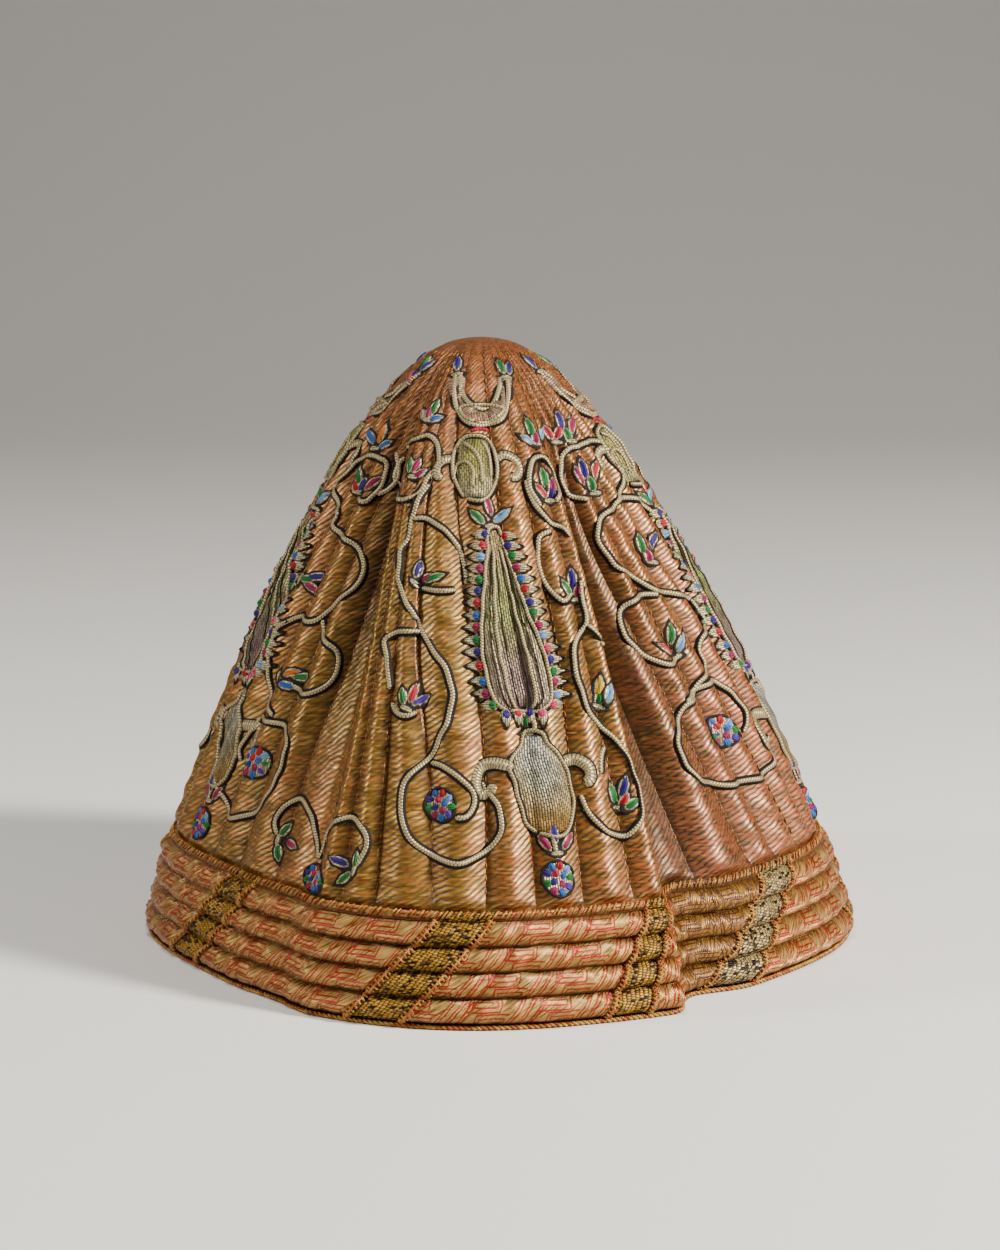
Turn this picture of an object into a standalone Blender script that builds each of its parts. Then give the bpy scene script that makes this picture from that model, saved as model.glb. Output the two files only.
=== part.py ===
"""A tall soft hat of quilted gold brocade, resting on its rim, with a padded band round the foot.

The crown is one padded cone, quilted in narrow channels that run from the top to the rim and
gathered in two deep folds at the front. The band is pieced from slanted panels and narrow strips,
each sewn over four padded rolls. A thin twisted cord is sewn along the bottom edge.

Every point of the hat is named by an azimuth, in degrees from the front (-Y) and growing towards
+X, and by a share of the slant from the band's top edge to the point of the crown.
"""
import math

import bmesh
import bpy
import numpy as np

# Driving sizes in metres
HAT_HEIGHT = 0.1756            # rim to top
CROWN_FOOT_RADIUS = 0.1005     # outside of the crown at the rim, under the band
CROWN_TUCK_RADIUS = 0.0943     # outside of the crown where the band's top edge grips it
CROWN_SWELL_RADIUS = 0.0969    # the ribs' outer line, carried down to the band's top edge
CROWN_LEAN = -0.0053           # how far the top leans along X
CROWN_WALL = 0.0030            # cloth, wadding and lining at a quilting line
RIB_RISE = 0.0023              # most that the wadding puffs between two quilting lines
RIB_PUFF = 0.17                # and most that it puffs as a share of the channel's width
FOLD_RUN = 0.0046              # width of the steep side of a fold
BAND_HEIGHT = 0.0302
BAND_WELT_HEIGHT = 0.0024      # flat margin above the rolls
BAND_WELT_THICKNESS = 0.0015
ROLL_COUNT = 4
ROLL_PADDING_FOOT = 0.0062     # thickness of the band over a roll, at the rim
ROLL_PADDING_TOP = 0.0035      # the same at the band's top edge
ROLL_GROOVE = 0.0028           # how deep the stitching sinks between two rolls
CORD_RADIUS = 0.0007
CLEARANCE = 0.0003             # between pieces that are sewn together
SEAM_TOOL_DEPTH = 0.030        # radial length of the slabs that part the band's pieces
SEAM_TOOL_OVERRUN = 0.2        # how far a slab runs on past each edge, as a share of its seam
PUFF_POWER = 0.6               # padded cloth between two stitched lines: below 1 it rises steeply
NORMAL_STEP = 0.001            # share of the slant over which the outline's direction is taken

# The crown's outline above the band: share of the swell radius, share of the height above the band
CROWN_PROFILE = (
    # radius, height
    (1.000, 0.000),
    (0.942, 0.094),
    (0.866, 0.215),
    (0.785, 0.336),
    (0.700, 0.457),
    (0.604, 0.577),
    (0.498, 0.698),
    (0.391, 0.807),
    (0.287, 0.891),
    (0.192, 0.952),
    (0.105, 0.988),
    (0.000, 1.000),
)

# Shares of the slant where the tables below give their values, from the band to the top
STATIONS = np.array([0.0, 0.2, 0.4, 0.6, 0.8, 1.0])

# Quilting lines seen from the front, left to right: azimuth in degrees at each station
FRONT_LINES = np.array([
    (-78.0, -76.0, -73.0, -65.0, -61.0, -61.0),
    (-66.0, -64.0, -61.0, -56.0, -54.5, -54.5),
    (-56.0, -54.5, -50.0, -47.5, -49.0, -49.0),
    (-43.5, -43.0, -40.5, -41.0, -44.0, -44.0),
    (-32.0, -30.5, -31.0, -34.5, -39.0, -39.0),
    (-25.5, -25.5, -26.0, -28.5, -33.0, -33.0),
    (-19.5, -20.5, -22.0, -24.5, -28.0, -28.0),
    (-10.0, -11.7, -17.0, -20.0, -22.5, -22.5),
    (-1.6, -1.2, -3.5, -9.0, -14.0, -14.0),
    (6.5, 6.5, 6.8, 5.5, 3.5, 3.5),
    (14.5, 15.3, 16.5, 15.5, 14.0, 14.0),
    (23.5, 23.5, 23.0, 23.0, 22.5, 22.5),
    (31.0, 31.0, 31.0, 32.0, 31.5, 31.5),
    (41.0, 38.5, 35.5, 36.0, 36.5, 36.5),
    (56.0, 51.5, 45.0, 40.5, 41.0, 41.0),
    (64.0, 60.0, 54.5, 47.5, 46.0, 46.0),
    (73.0, 69.0, 63.0, 55.0, 51.0, 51.0),
    (79.0, 77.0, 71.5, 63.0, 57.5, 57.5),
    (86.0, 84.5, 80.0, 72.5, 65.0, 65.0),
])
LEFT_FOLD_LINE = 4
RIGHT_FOLD_LINE = 12
REAR_LINE_COUNT = 23           # evenly spaced between the last front line and the first

# How much of the puff is left at each station
RIB_FADE = np.array([1.0, 1.0, 1.0, 0.9, 0.5, 0.0])

# Dents of the cone: azimuth of the deepest line, degrees over which it eases out on each side, and
# depth at each station as a share of the crown's foot radius (a swelling is a negative depth)
DENTS = (
    # azimuth, left, right, depths
    (-58.0, 34.0, 30.0, (0.060, 0.045, 0.025, 0.010, 0.000, 0.000)),
    (-10.0, 40.0, 32.0, (-0.038, -0.030, -0.020, -0.010, 0.000, 0.000)),
    (60.0, 30.0, 30.0, (0.035, 0.030, 0.020, 0.010, 0.000, 0.000)),
    (150.0, 30.0, 22.0, (0.025, 0.025, 0.020, 0.010, 0.000, 0.000)),
    (235.0, 24.0, 30.0, (0.020, 0.025, 0.025, 0.015, 0.000, 0.000)),
)

# Folds follow a quilting line: line, side of the steep flank (+1 right, -1 left), degrees over which
# the other side eases out, and depth at each station as a share of the crown's foot radius
FOLDS = (
    # line, steep side, ease, depths
    (LEFT_FOLD_LINE, 1, 45.0, (0.010, 0.028, 0.045, 0.045, 0.022, 0.000)),
    (RIGHT_FOLD_LINE, -1, 50.0, (0.070, 0.082, 0.085, 0.062, 0.026, 0.000)),
)

# Seams of the band seen from the front, left to right: azimuth at the top edge, azimuth at the rim,
# and what the piece to the right of the seam is
FRONT_SEAMS = (
    # top, foot, piece
    (-55.0, -71.0, "strip"),
    (-46.5, -62.0, "panel"),
    (-8.0, -23.5, "strip"),
    (0.5, -15.0, "panel"),
    (26.0, 15.5, "strip"),
    (29.8, 22.5, "panel"),
    (33.0, 33.0, "panel"),
    (58.0, 36.0, "strip"),
    (68.0, 46.0, "panel"),
)
REAR_STRIP_COUNT = 5
STRIP_WIDTH = 8.6              # degrees, of a narrow strip at the back

# Shares of the slant at the rows of the crown's faces
RIBBED_ROWS = (0.02, 0.09, 0.18, 0.29, 0.41, 0.53, 0.65, 0.76)
TOP_ROWS = (0.86, 0.93, 0.975)
INNER_TOP_ROWS = (0.96, 0.88)
INNER_ROWS = (0.78, 0.64, 0.50, 0.36, 0.22, 0.08)
ROLL_ROWS = (0.0, 0.18, 0.5, 0.82)


def through(x, places, values):
    """Smooth curve through a table: cubic pieces whose slopes are taken from the neighbours."""
    places = np.asarray(places, float)
    values = np.asarray(values, float)
    slopes = np.gradient(values, places, axis=0)
    x = np.clip(np.asarray(x, float), places[0], places[-1])
    i = np.clip(np.searchsorted(places, x, side="right") - 1, 0, len(places) - 2)
    step = places[i + 1] - places[i]
    f = (x - places[i]) / step
    if values.ndim > 1:
        step = step[..., None]
        f = f[..., None]
    start = (1 + 2 * f) * (1 - f) ** 2 * values[i] + f * (1 - f) ** 2 * step * slopes[i]
    end = f ** 2 * (3 - 2 * f) * values[i + 1] - f ** 2 * (1 - f) * step * slopes[i + 1]
    return start + end


def crown_profile(share):
    """Radius and height of the ribs' outer line at a share of the slant from band to top."""
    table = np.array(CROWN_PROFILE)
    radius = table[:, 0] * CROWN_SWELL_RADIUS
    height = BAND_HEIGHT + table[:, 1] * (HAT_HEIGHT - BAND_HEIGHT)
    mirrored = np.append(radius, -radius[-2])
    heights = np.append(height, height[-2])
    slant = np.append(0.0, np.cumsum(np.hypot(np.diff(mirrored), np.diff(heights))))
    path = np.stack([mirrored, heights], axis=1)
    point = through(np.asarray(share, float) * slant[-2], slant, path)
    return point[..., 0], point[..., 1]


def inner_profile(share):
    """The same line moved inwards, at right angles to it, by the wall and the puff of the ribs."""
    share = np.asarray(share, float)
    r0, z0 = crown_profile(share - NORMAL_STEP)
    r1, z1 = crown_profile(share + NORMAL_STEP)
    length = np.hypot(r1 - r0, z1 - z0)
    radius, height = crown_profile(share)
    thickness = CROWN_WALL + RIB_RISE * through(share, STATIONS, RIB_FADE)
    return radius - thickness * (z1 - z0) / length, height + thickness * (r1 - r0) / length


def quilting_lines(share):
    """Azimuth of every quilting line at a share of the slant, once round the hat."""
    front = through(share, STATIONS, FRONT_LINES.T)
    first, last = front[0] + 360.0, front[-1]
    rear = np.linspace(last, first, REAR_LINE_COUNT + 2)[1:-1]
    return np.concatenate([front, rear])


def column_azimuths(share, parts):
    """Azimuths of the face columns: each channel between two lines is cut into equal parts."""
    lines = quilting_lines(share)
    following = np.append(lines[1:], lines[0] + 360.0)
    f = np.arange(parts) / parts
    return (lines[:, None] + f * (following - lines)[:, None]).ravel()


def puff(f):
    """Height of padded cloth between two stitched lines, 0 at both and 1 half way."""
    return (4 * f * (1 - f)) ** PUFF_POWER


def ease(x):
    """One at 0, falling smoothly to zero at 1 and beyond."""
    return 0.5 * (1 + np.cos(math.pi * np.clip(x, 0, 1)))


def away(azimuth, centre):
    """Signed degrees from a centre line, between -180 and 180."""
    return (azimuth - centre + 180.0) % 360.0 - 180.0


def dent_depth(azimuth, share):
    """How far folds and dents push the wall in towards the axis."""
    depth = np.zeros_like(azimuth, dtype=float)
    for centre, left, right, depths in DENTS:
        d = away(azimuth, centre)
        amount = through(share, STATIONS, depths)
        depth += amount * ease(np.where(d < 0, -d / left, d / right))
    lines = quilting_lines(share)
    radius = max(float(crown_profile(share)[0]), FOLD_RUN)
    steep = math.degrees(FOLD_RUN / radius)
    for line, side, gentle, depths in FOLDS:
        d = side * away(azimuth, lines[line])
        amount = through(share, STATIONS, depths)
        depth += amount * ease(np.where(d > 0, d / steep, -d / gentle))
    return depth * CROWN_FOOT_RADIUS


def ring(azimuth, radius, height):
    """Points round the leaning axis at one height."""
    a = np.radians(azimuth)
    x = radius * np.sin(a) + CROWN_LEAN * height / HAT_HEIGHT
    return np.stack([x, -radius * np.cos(a), np.full_like(a, height)], axis=1)


def ribbed_ring(share, parts):
    """A row of the crown's outside: puffed between the quilting lines, sunk along them."""
    azimuth = column_azimuths(share, parts)
    radius, height = crown_profile(share)
    f = np.tile(np.arange(parts) / parts, len(azimuth) // parts)
    width = np.radians(away(np.roll(azimuth[::parts], -1), azimuth[::parts])) * radius
    rise = np.minimum(RIB_RISE, RIB_PUFF * width) * float(through(share, STATIONS, RIB_FADE))
    sunk = np.repeat(rise, parts) * (1 - puff(f))
    return ring(azimuth, radius - sunk - dent_depth(azimuth, share), float(height))


def gripped_ring(height, parts, inwards=0.0):
    """A smooth row of the crown under the band, between the rim and the band's top edge."""
    azimuth = column_azimuths(0.0, parts)
    f = height / BAND_HEIGHT
    radius = CROWN_FOOT_RADIUS + f * (CROWN_TUCK_RADIUS - CROWN_FOOT_RADIUS) - inwards
    return ring(azimuth, radius - dent_depth(azimuth, 0.0), height)


def inner_ring(share, parts):
    """A row of the crown's inside, smooth but for the folds."""
    azimuth = column_azimuths(share, parts)
    radius, height = inner_profile(share)
    return ring(azimuth, radius - dent_depth(azimuth, share), float(height))


def add_points(mesh, points):
    return [mesh.verts.new(tuple(p)) for p in points]


def stitch(mesh, many, few):
    """Faces between two closed rows; the first may have several points for each of the second."""
    each = len(many) // len(few)
    for j, near in enumerate(few):
        far = few[(j + 1) % len(few)]
        row = [many[(j * each + k) % len(many)] for k in range(each + 1)]
        if each == 1:
            mesh.faces.new((near, far, row[1], row[0]))
            continue
        middle = each // 2
        for k in range(each):
            mesh.faces.new((near if k < middle else far, row[k + 1], row[k]))
        mesh.faces.new((near, far, row[middle]))


def close_top(mesh, row, point):
    top = mesh.verts.new(tuple(point))
    for j in range(len(row)):
        mesh.faces.new((row[j], row[(j + 1) % len(row)], top))


def material(name, colour, roughness, metallic):
    finish = bpy.data.materials.new(name)
    finish.use_nodes = True
    shader = finish.node_tree.nodes["Principled BSDF"]
    shader.inputs["Base Color"].default_value = (*colour, 1.0)
    shader.inputs["Roughness"].default_value = roughness
    shader.inputs["Metallic"].default_value = metallic
    return finish


def add_object(name, mesh, finish):
    """Turns a bmesh into a named object with outward faces, shaded smooth with crisp edges."""
    bmesh.ops.recalc_face_normals(mesh, faces=mesh.faces)
    data = bpy.data.meshes.new(name)
    mesh.to_mesh(data)
    mesh.free()
    data.shade_smooth()
    data.set_sharp_from_angle(angle=math.radians(40))
    data.materials.append(finish)
    thing = bpy.data.objects.new(name, data)
    bpy.context.scene.collection.objects.link(thing)
    return thing


def make_crown():
    """The padded cone: outside with ribs and folds, inside smooth, joined by the flat rim."""
    mesh = bmesh.new()
    fine, half, coarse = 4, 2, 1
    rows = [gripped_ring(0.0, fine), gripped_ring(BAND_HEIGHT, fine)]
    rows += [ribbed_ring(share, fine) for share in RIBBED_ROWS]
    rows += [ribbed_ring(share, coarse) for share in TOP_ROWS]
    outside = [add_points(mesh, row) for row in rows]
    for lower, upper in zip(outside, outside[1:]):
        stitch(mesh, lower, upper)
    close_top(mesh, outside[-1], (CROWN_LEAN, 0.0, HAT_HEIGHT))

    rows = [inner_ring(share, coarse) for share in INNER_TOP_ROWS]
    rows += [inner_ring(share, half) for share in INNER_ROWS]
    rows += [gripped_ring(height, half, CROWN_WALL) for height in (BAND_HEIGHT, 0.0)]
    inside = [add_points(mesh, row) for row in rows]
    for upper, lower in zip(inside, inside[1:]):
        stitch(mesh, lower, upper)
    inner_top = HAT_HEIGHT - CROWN_WALL
    close_top(mesh, inside[0], (CROWN_LEAN * inner_top / HAT_HEIGHT, 0.0, inner_top))
    stitch(mesh, outside[0], inside[-1])
    return add_object("crown", mesh, material("gold brocade", (0.36, 0.21, 0.075), 0.45, 0.55))


def band_azimuths():
    """Two columns to a channel, and twice as many where the deep fold runs through the band."""
    fine = column_azimuths(0.0, 4)
    channel = np.arange(len(fine)) // 4
    at_fold = np.abs(channel - RIGHT_FOLD_LINE + 0.5) < 1
    return fine[at_fold | (np.arange(len(fine)) % 2 == 0)]


def band_back(height):
    """Radius of the band's back at a height, clear of the crown that it is sewn to."""
    f = height / BAND_HEIGHT
    return CROWN_FOOT_RADIUS + f * (CROWN_TUCK_RADIUS - CROWN_FOOT_RADIUS) + CLEARANCE


def band_section():
    """Outline of the band's cross-section: thickness in front of its back, and height."""
    first = 2 * CORD_RADIUS + CLEARANCE / 2
    last = BAND_HEIGHT - BAND_WELT_HEIGHT
    pitch = (last - first) / ROLL_COUNT

    def over_roll(height):
        return ROLL_PADDING_FOOT + height / BAND_HEIGHT * (ROLL_PADDING_TOP - ROLL_PADDING_FOOT)

    points = [(0.0, 0.0), (over_roll(first) - ROLL_GROOVE, 0.0)]
    for roll in range(ROLL_COUNT):
        for f in ROLL_ROWS:
            height = first + (roll + f) * pitch
            points.append((over_roll(height) - ROLL_GROOVE * (1 - puff(f)), height))
    points += [(BAND_WELT_THICKNESS, last), (BAND_WELT_THICKNESS, BAND_HEIGHT), (0.0, BAND_HEIGHT)]
    return points


def make_band_ring():
    """The whole band before it is parted into its pieces."""
    mesh = bmesh.new()
    azimuth = band_azimuths()
    dent = dent_depth(azimuth, 0.0)
    rows = [add_points(mesh, ring(azimuth, band_back(height) + thickness - dent, height))
            for thickness, height in band_section()]
    for row, following in zip(rows, rows[1:] + rows[:1]):
        stitch(mesh, row, following)
    return add_object("band_ring", mesh, material("band cloth", (0.4, 0.25, 0.12), 0.5, 0.3))


def band_seams():
    """All seams of the band in order: azimuth at the top edge, azimuth at the rim, piece."""
    seams = list(FRONT_SEAMS)
    top, foot = FRONT_SEAMS[-1][0], FRONT_SEAMS[-1][1]
    end_top, end_foot = FRONT_SEAMS[0][0] + 360.0, FRONT_SEAMS[0][1] + 360.0
    slant = (top - foot, end_top - end_foot)
    panel = (end_top - top - REAR_STRIP_COUNT * STRIP_WIDTH) / (REAR_STRIP_COUNT + 1)
    for k in range(REAR_STRIP_COUNT):
        start = top + (k + 1) * panel + k * STRIP_WIDTH
        for azimuth, piece in ((start, "strip"), (start + STRIP_WIDTH, "panel")):
            f = (azimuth - top) / (end_top - top)
            seams.append((azimuth, azimuth - slant[0] - f * (slant[1] - slant[0]), piece))
    return seams


def make_seam_tool(seams):
    """Thin slabs, one along each seam, that part the band's pieces."""
    mesh = bmesh.new()
    for top, foot, _ in seams:
        dent = dent_depth(np.array([top, foot]), 0.0)
        upper = ring(np.array([top]), band_back(BAND_HEIGHT) - dent[0], BAND_HEIGHT)[0]
        lower = ring(np.array([foot]), band_back(0.0) - dent[1], 0.0)[0]
        middle = math.radians((top + foot) / 2)
        out = np.array([math.sin(middle), -math.cos(middle), 0.0])
        along = upper - lower
        across = np.cross(out, along)
        across *= CLEARANCE / 2 / np.linalg.norm(across)
        reach = out * SEAM_TOOL_DEPTH / 2
        over = along * SEAM_TOOL_OVERRUN
        corners = []
        for end in (lower - over, upper + over):
            for r, s in ((-1, -1), (-1, 1), (1, 1), (1, -1)):
                point = end + r * reach + s * across
                corners.append(mesh.verts.new(tuple(point)))
        low, high = corners[:4], corners[4:]
        mesh.faces.new(low[::-1])
        mesh.faces.new(high)
        for k in range(4):
            mesh.faces.new((low[k], low[(k + 1) % 4], high[(k + 1) % 4], high[k]))
    tool = add_object("seam_tool", mesh, material("tool", (0.5, 0.5, 0.5), 0.5, 0.0))
    tool.hide_render = True
    tool.display_type = "WIRE"
    return tool


def loose_parts(mesh):
    """Groups of joined vertices of a bmesh."""
    left = set(mesh.verts)
    groups = []
    while left:
        todo = [left.pop()]
        group = set(todo)
        while todo:
            vert = todo.pop()
            for edge in vert.link_edges:
                other = edge.other_vert(vert)
                if other in left:
                    left.remove(other)
                    group.add(other)
                    todo.append(other)
        groups.append(group)
    return groups


def middle_azimuth(group, centre_height):
    """Azimuth of a band piece, read where it crosses the middle of the band's height."""
    points = np.array([v.co for v in group])
    near = points[np.abs(points[:, 2] - centre_height) < BAND_HEIGHT / 6]
    centre = near.mean(axis=0)
    return math.degrees(math.atan2(centre[0], -centre[1]))


def make_band():
    """Parts the ring at its seams and names the pieces in order round the hat."""
    whole = make_band_ring()
    seams = band_seams()
    tool = make_seam_tool(seams)
    cut = whole.modifiers.new("seams", "BOOLEAN")
    cut.operation = "DIFFERENCE"
    cut.object = tool
    graph = bpy.context.evaluated_depsgraph_get()
    parted = bmesh.new()
    parted.from_mesh(whole.evaluated_get(graph).to_mesh())
    groups = loose_parts(parted)
    finishes = {
        "panel": material("red and silver brocade", (0.42, 0.20, 0.12), 0.5, 0.3),
        "strip": material("olive gold brocade", (0.22, 0.15, 0.05), 0.5, 0.5),
    }
    starts = [((top + foot) / 2, piece) for top, foot, piece in seams]
    order = [(middle_azimuth(group, BAND_HEIGHT / 2) - starts[0][0]) % 360.0 for group in groups]
    counts = {"panel": 0, "strip": 0}
    pieces = []
    for (start, piece), index in zip(starts, np.argsort(order)):
        counts[piece] += 1
        keep = groups[index]
        single = parted.copy()
        single.verts.ensure_lookup_table()
        unwanted = [single.verts[v.index] for v in parted.verts if v not in keep]
        bmesh.ops.delete(single, geom=unwanted, context="VERTS")
        pieces.append(add_object("band_%s_%02d" % (piece, counts[piece]), single, finishes[piece]))
    parted.free()
    for helper in (whole, tool):
        bpy.data.objects.remove(helper)
    return pieces


def offset_outline(outline, distance):
    """Moves a closed outline outwards, each corner along the middle of its two sides."""
    before = outline - np.roll(outline, 1, axis=0)
    after = np.roll(outline, -1, axis=0) - outline
    sides = []
    for side in (before, after):
        side = side / np.linalg.norm(side, axis=1)[:, None]
        sides.append(np.stack([side[:, 1], -side[:, 0]], axis=1))
    middle = sides[0] + sides[1]
    length = (middle * sides[0]).sum(axis=1)
    return outline + distance * middle / length[:, None]


def make_hem_cord():
    """The cord that lies against the band's foot, on the surface that the hat rests on."""
    mesh = bmesh.new()
    sides = 6
    azimuth = band_azimuths()
    thickness = band_section()[1][0]
    foot = ring(azimuth, band_back(0.0) + thickness - dent_depth(azimuth, 0.0), 0.0)[:, :2]
    lift = CORD_RADIUS * math.cos(math.pi / sides)
    rows = []
    for k in range(sides):
        angle = math.pi / sides + 2 * math.pi * k / sides
        line = offset_outline(foot, CLEARANCE + CORD_RADIUS + CORD_RADIUS * math.sin(angle))
        height = np.full((len(line), 1), lift + CORD_RADIUS * math.cos(angle))
        rows.append(add_points(mesh, np.hstack([line, height])))
    for row, following in zip(rows, rows[1:] + rows[:1]):
        stitch(mesh, row, following)
    return add_object("hem_cord", mesh, material("twisted gold cord", (0.5, 0.27, 0.06), 0.4, 0.6))


def centre_on_origin(things):
    """Moves all meshes together so that the middle of the footprint is on the Z axis."""
    points = np.array([v.co for thing in things for v in thing.data.vertices])
    middle = (points.min(axis=0) + points.max(axis=0)) / 2
    for thing in things:
        for v in thing.data.vertices:
            v.co.x -= middle[0]
            v.co.y -= middle[1]


def main():
    for old in list(bpy.data.objects):
        bpy.data.objects.remove(old)
    things = [make_crown()] + make_band() + [make_hem_cord()]
    centre_on_origin(things)
    faces = sum(len(thing.data.polygons) for thing in things)
    print("pieces", len(things), "faces", faces)


main()
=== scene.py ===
# %% [markdown]
# # A tall quilted hat in gold brocade
#
# This lesson dresses a plain CAD model of a hat in cloth, padding and embroidery. The real hat is
# a cone of gold twill, padded and quilted in narrow channels, with scrolling vines laid on it in
# silver cord. A pieced band with four padded rolls runs round its foot.
#
# The first cell loads the CAD model. It gives the size and place of everything, so the pieces
# made here can replace its plain ones without any fitting.

# %% Load the frame
import math

import bmesh
import bpy
import numpy as np
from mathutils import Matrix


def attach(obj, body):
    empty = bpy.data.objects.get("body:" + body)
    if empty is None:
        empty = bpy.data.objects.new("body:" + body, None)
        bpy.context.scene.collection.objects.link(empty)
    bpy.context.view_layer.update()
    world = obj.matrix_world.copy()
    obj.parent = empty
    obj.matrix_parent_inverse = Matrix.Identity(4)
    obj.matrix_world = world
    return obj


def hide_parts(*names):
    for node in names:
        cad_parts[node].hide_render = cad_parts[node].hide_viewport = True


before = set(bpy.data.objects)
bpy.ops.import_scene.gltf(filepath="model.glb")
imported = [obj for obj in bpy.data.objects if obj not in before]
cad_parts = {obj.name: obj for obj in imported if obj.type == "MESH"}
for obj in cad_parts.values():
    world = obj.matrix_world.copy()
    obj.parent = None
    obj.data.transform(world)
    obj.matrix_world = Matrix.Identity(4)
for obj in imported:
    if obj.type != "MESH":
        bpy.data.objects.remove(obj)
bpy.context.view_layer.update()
print("CAD pieces:", len(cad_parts))

# %% [markdown]
# ## The camera
#
# The photograph was taken a little above the hat, from about a metre away with a long lens. A long
# lens keeps the cone from looking pinched, so the focal length matters as much as the direction.
# The camera comes first because it decides which details are worth making.

# %% The camera
CAMERA_DISTANCE = 0.963
CAMERA_TILT = math.radians(10.98)
AIM = (-0.00002, 0.00158, 0.0771)

lens = bpy.data.cameras.new("camera")
lens.lens = 93.9
lens.sensor_width = 36
lens.shift_x = 0.0007
lens.shift_y = 0.0368
camera = bpy.data.objects.new("camera", lens)
camera.location = (AIM[0], AIM[1] - CAMERA_DISTANCE * math.cos(CAMERA_TILT),
                   AIM[2] + CAMERA_DISTANCE * math.sin(CAMERA_TILT))
camera.rotation_euler = (math.pi / 2 - CAMERA_TILT, 0, 0)
bpy.context.scene.collection.objects.link(camera)
bpy.context.scene.camera = camera
print("camera", [round(v, 3) for v in camera.location])

# %% [markdown]
# ## Sizes and tables
#
# These are the hat's own sizes, the same as in the CAD model. The outline of the cone and the paths
# of the quilting lines are tables, because a hand-made hat has no formula. Curves drawn through
# the tables do the rest.

# %% Sizes in metres, azimuths in degrees from the front towards +X
HAT_HEIGHT = 0.1756
CROWN_FOOT_RADIUS = 0.1005     # of the cone at the rim, behind the band
CROWN_TUCK_RADIUS = 0.0943     # where the band's top edge grips it
CROWN_SWELL_RADIUS = 0.0969    # just above the band
BAND_HEIGHT = 0.0302

CROWN_PROFILE = np.array([
    # share of the swell radius, share of the height above the band
    (1.000, 0.000), (0.942, 0.094), (0.866, 0.215), (0.785, 0.336), (0.700, 0.457), (0.604, 0.577),
    (0.498, 0.698), (0.391, 0.807), (0.287, 0.891), (0.192, 0.952), (0.105, 0.988), (0.000, 1.000),
])
STATIONS = np.array([0.0, 0.2, 0.4, 0.6, 0.8, 1.0])   # shares of the slant, band to top
FRONT_LINES = np.array([
    (-78.0, -76.0, -73.0, -65.0, -61.0, -61.0), (-66.0, -64.0, -61.0, -56.0, -54.5, -54.5),
    (-56.0, -54.5, -50.0, -47.5, -49.0, -49.0), (-43.5, -43.0, -40.5, -41.0, -44.0, -44.0),
    (-32.0, -30.5, -31.0, -34.5, -39.0, -39.0), (-25.5, -25.5, -26.0, -28.5, -33.0, -33.0),
    (-19.5, -20.5, -22.0, -24.5, -28.0, -28.0), (-10.0, -11.7, -17.0, -20.0, -22.5, -22.5),
    (-1.6, -1.2, -3.5, -9.0, -14.0, -14.0), (6.5, 6.5, 6.8, 5.5, 3.5, 3.5),
    (14.5, 15.3, 16.5, 15.5, 14.0, 14.0), (23.5, 23.5, 23.0, 23.0, 22.5, 22.5),
    (31.0, 31.0, 31.0, 32.0, 31.5, 31.5), (41.0, 38.5, 35.5, 36.0, 36.5, 36.5),
    (56.0, 51.5, 45.0, 40.5, 41.0, 41.0), (64.0, 60.0, 54.5, 47.5, 46.0, 46.0),
    (73.0, 69.0, 63.0, 55.0, 51.0, 51.0), (79.0, 77.0, 71.5, 63.0, 57.5, 57.5),
    (86.0, 84.5, 80.0, 72.5, 65.0, 65.0),
])
REAR_LINE_COUNT = 23
print("quilting lines:", len(FRONT_LINES) + REAR_LINE_COUNT)

# %% [markdown]
# ## The shape of the padded cone
#
# A quilted wall is the outline of the cone, less a small sink at each stitched line, less the folds
# and dents. Each part is one array function of azimuth and slant, so that a single call works out
# every point of a grid, and the embroidery later can ask where the cloth is at any place.

# %% The outline and the quilting lines
def through(x, places, values):
    """Smooth curve through a table: cubic pieces whose slopes are taken from the neighbours."""
    places, values = np.asarray(places, float), np.asarray(values, float)
    slopes = np.gradient(values, places, axis=0)
    x = np.clip(np.asarray(x, float), places[0], places[-1])
    i = np.clip(np.searchsorted(places, x, side="right") - 1, 0, len(places) - 2)
    step = places[i + 1] - places[i]
    f = (x - places[i]) / step
    if values.ndim > 1:
        step, f = step[..., None], f[..., None]
    start = (1 + 2 * f) * (1 - f) ** 2 * values[i] + f * (1 - f) ** 2 * step * slopes[i]
    return start + f ** 2 * (3 - 2 * f) * values[i + 1] - f ** 2 * (1 - f) * step * slopes[i + 1]


PROFILE_RADIUS = np.append(CROWN_PROFILE[:, 0], -CROWN_PROFILE[-2, 0]) * CROWN_SWELL_RADIUS
PROFILE_HEIGHT = BAND_HEIGHT + (np.append(CROWN_PROFILE[:, 1], CROWN_PROFILE[-2, 1])
                                * (HAT_HEIGHT - BAND_HEIGHT))
PROFILE_PATH = np.append(0, np.cumsum(np.hypot(np.diff(PROFILE_RADIUS), np.diff(PROFILE_HEIGHT))))
SLANT = PROFILE_PATH[-2]


def crown_profile(share):
    """Radius and height of the ribs' outer line at a share of the slant."""
    point = through(np.asarray(share, float) * SLANT, PROFILE_PATH,
                    np.stack([PROFILE_RADIUS, PROFILE_HEIGHT], axis=1))
    return point[..., 0], point[..., 1]


def quilting_lines(share):
    """Azimuth of every quilting line, with the lines along the last axis."""
    front = through(share, STATIONS, FRONT_LINES.T)
    first, last = front[..., :1] + 360.0, front[..., -1:]
    f = np.arange(1, REAR_LINE_COUNT + 1) / (REAR_LINE_COUNT + 1)
    return np.concatenate([front, last + f * (first - last)], axis=-1)


print("slant %.1f mm" % (SLANT * 1000))

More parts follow.
